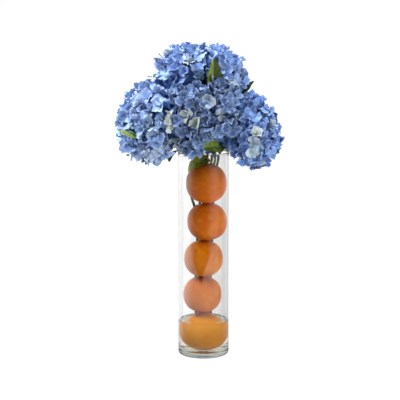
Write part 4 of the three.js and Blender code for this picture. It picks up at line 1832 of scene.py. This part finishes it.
@dataclass
class Studio:
    """A pale floor whose glow is painted light, soft light from the left, and a camera at the photograph's
    view.

    The floor's glow depends on the distance from the vase in metres and on the bearing, which is -1 to 1 from
    left to right and from front to back. A range is where it changes, and the last two numbers of a ramp are
    what it changes between.
    """

    camera_place: Point = (-0.00685, -2.255, 0.655)
    pitch_down: float = math.radians(8.68)
    lens: float = 103.8
    floor_size: float = 30.0
    floor_height: float = -0.0002
    blur: Ramp = (0.85, 1.3, 1.0, 0.3)
    wedge_start: Range = (0.66, 0.76)
    wedge_left: Ramp = (0.7, 1.0, -0.25, -0.7)
    wedge_right: Ramp = (0.75, 1.15, -0.05, 0.5)
    soft_left: Range = (-0.1, 0.05)
    soft_right: Range = (0.1, -0.1)
    far_dim: Ramp = (1.0, 1.6, 1.1, 0.7)
    right_dim: Ramp = (0.88, 1.0, 1.0, 0.4)
    left_rise: Ramp = (-0.75, -1.0, 0.0, 1.0)
    foot: Range = (0.2, 0.45)
    back: Range = (-0.35, 0.5)
    back_right: Ramp = (0.2, 0.7, 1.0, 0.6)
    front: Ramp = (0.1, 0.5, 1.0, 0.0)
    seen_far: Ramp = (0.8, 4.0, 0.84, 1.0)
    to_petals: float = 0.4
    middle: Range = (-0.04, 0.05)
    behind_glass: Range = (1.2, 0.96)
    passed_through: Range = (2.2, 2.8)
    lit: float = 0.22
    surround: float = 1.02
    world_back: Ramp = (-0.6, 0.7, 0.03, 0.8)
    world_left: Ramp = (-1.0, 1.0, 0.2, -0.1)
    softboxes: tuple[Softbox, ...] = (
        Softbox("left_window", (-1.25, 0.0, 2.2), (0, 0, 0.5), 1.2, 1.1, 10.0),
        Softbox("right_window", (1.25, -1.3, 0.85), (0, 0, 0.35), 1.0, 1.5, 3.0),
        Softbox("low_right", (0.6, -0.5, 0.1), (0, 0, 0.2), 0.35, 0.25, 2.0, math.radians(60)),
        Softbox("high_left", (-0.95, -0.8, 2.5), (0, 0, 0.5), 1.1, 1.1, 14.0),
        Softbox("top_back", (0.2, 0.9, 2.2), (0, 0, 0.5), 1.3, 1.3, 5.0),
    )

    def mirrored_glow(self, sheet: NodeSheet, away: Socket, side: Socket, depth: Socket) -> Socket:
        """How bright the floor is in a mirror, a painted reflection of the studio's windows in the glass:
        bright bands to the sides and behind, and dark in a wedge ahead of the vase that opens from about 0.7 m.

        Args:
            sheet: the floor's nodes.
            away: the distance from the vase's axis, in metres.
            side: how far to the right a place's bearing is, from -1 to 1.
            depth: how far to the back its bearing is.

        Returns:
            The glow.
        """
        blur = sheet.ramp(away, *self.blur)
        past_left = sheet.minus(side, sheet.ramp(away, *self.wedge_left))
        past_right = sheet.minus(side, sheet.ramp(away, *self.wedge_right))
        left_edge = sheet.ramp(sheet.times(past_left, blur), *self.soft_left)
        right_edge = sheet.ramp(sheet.times(past_right, blur), *self.soft_right)
        wedge = sheet.times(sheet.times(left_edge, right_edge), sheet.ramp(away, *self.wedge_start))
        bright = sheet.times(sheet.ramp(away, *self.far_dim), sheet.ramp(side, *self.right_dim))
        bright = sheet.math(Step.SUM, bright, sheet.ramp(side, *self.left_rise))
        near = sheet.times(bright, sheet.minus(1.0, wedge))
        near = sheet.times(near, sheet.ramp(away, *self.foot))
        behind = sheet.times(sheet.ramp(depth, *self.back), sheet.ramp(side, *self.back_right))
        return sheet.math(Step.LARGER, sheet.times(near, sheet.ramp(depth, *self.front)), behind)

    def floor(self) -> None:
        """A wide pale floor just under the vase, whose glow is painted light that differs in mirrors and
        through glass.
        """
        material = bpy.data.materials.new("pale_floor")
        sheet = NodeSheet(material)
        path = sheet.add("LightPath").outputs
        away = sheet.add("VectorMath", {"operation": "LENGTH"}, i0=sheet.place()).outputs["Value"]
        bearing = sheet.add("VectorMath", {"operation": "NORMALIZE"}, i0=sheet.place()).outputs["Vector"]
        side, depth = sheet.add("SeparateXYZ", Vector=bearing).outputs[:2]
        seen = sheet.ramp(away, *self.seen_far)
        direct = sheet.ramp(path["Is Diffuse Ray"], 0.0, 1.0, seen, self.to_petals)
        through = sheet.ramp(path["Transmission Depth"], *self.passed_through)
        # Painted light and shade on the floor as seen through the glass: brighter on the left, dimmer on the
        # right.
        glass_painted_light = sheet.ramp(side, *self.middle, *self.behind_glass)
        direct = sheet.times(direct, sheet.ramp(through, 0.0, 1.0, 1.0, glass_painted_light))
        mirrored = sheet.times(path["Is Glossy Ray"], sheet.minus(1.0, through))
        change = sheet.minus(self.mirrored_glow(sheet, away, side, depth), direct)
        glow = sheet.math(Step.SUM, direct, sheet.times(mirrored, change))
        lit = sheet.ramp(sheet.math(Step.LARGER, mirrored, through), 0.0, 1.0, self.lit, 0.0)
        values = {"Base_Color": lit, "Specular_IOR_Level": 0.0, "Emission_Strength": glow}
        shader = sheet.add("BsdfPrincipled", Roughness=0.9, **values)
        sheet.put(sheet.output.inputs["Surface"], shader.outputs[0])
        half = self.floor_size / 2
        mesh = bpy.data.meshes.new("floor")
        corners = [(x * half, y * half, self.floor_height) for x, y in ((-1, -1), (1, -1), (1, 1), (-1, 1))]
        mesh.from_pydata(corners, [], [(0, 1, 2, 3)])
        mesh.materials.append(material)
        floor = stood("floor", mesh)

    def world(self) -> None:
        """A white surround for the camera; for light it is dim in front and on the right, as a room is."""
        world = bpy.context.scene.world = bpy.data.worlds.new("surround")
        sheet = NodeSheet(world, "OutputWorld")
        direction = sheet.add("SeparateXYZ", Vector=sheet.add("TexCoord").outputs["Generated"]).outputs
        behind = sheet.ramp(direction[1], *self.world_back, Curve.STRAIGHT)
        left = sheet.ramp(direction[0], *self.world_left, Curve.STRAIGHT)
        camera = sheet.add("LightPath").outputs["Is Camera Ray"]
        seen = sheet.ramp(camera, 0.0, 1.0, sheet.math(Step.SUM, behind, left), self.surround, Curve.STRAIGHT)
        background = sheet.add("Background", Color=np.ones(3), Strength=seen)
        sheet.put(sheet.output.inputs["Surface"], background.outputs[0])

    def camera(self) -> None:
        """The camera, level from side to side and pitched down at the middle of the arrangement."""
        camera = bpy.data.cameras.new("camera")
        camera.lens = self.lens
        camera.sensor_width = 36
        eye = stood("camera", camera)
        eye.location = self.camera_place
        eye.rotation_euler = (math.pi / 2 - self.pitch_down, 0, 0)
        bpy.context.scene.camera = eye

    def build(self) -> None:
        """Sets up the whole studio."""
        self.camera()
        self.floor()
        self.world()
        for softbox in self.softboxes:
            softbox.build()
        view = bpy.context.scene.view_settings
        view.view_transform = "Standard"
        view.look = "None"


def main() -> None:
    """Builds the arrangement in order and reports each piece."""
    logging.basicConfig(level=logging.INFO, format="%(name)s: %(message)s")
    bench = Bench()
    Studio().build()
    vase = GlassVase()
    cane = CaneFinish().build("green_cane")
    leaf = LeafFinish().build("satin_leaf")
    petals = PetalFinish().build("soft_petal")
    stalks = StalkFinish().build("inner_stalk")
    vase.build(bench)
    VaseWater(vase).build(bench)
    stack = OrangeStack(vase, ORANGES)
    stack.build(bench, cane)
    for stem in STEMS:
        stem.build(bench, [cane, leaf], stack)
    Bouquet(vase, HEADS).build(bench, [petals, stalks])
    LOG.info("%d pieces", len(bench.pieces))


if __name__ == "__main__":
    main()
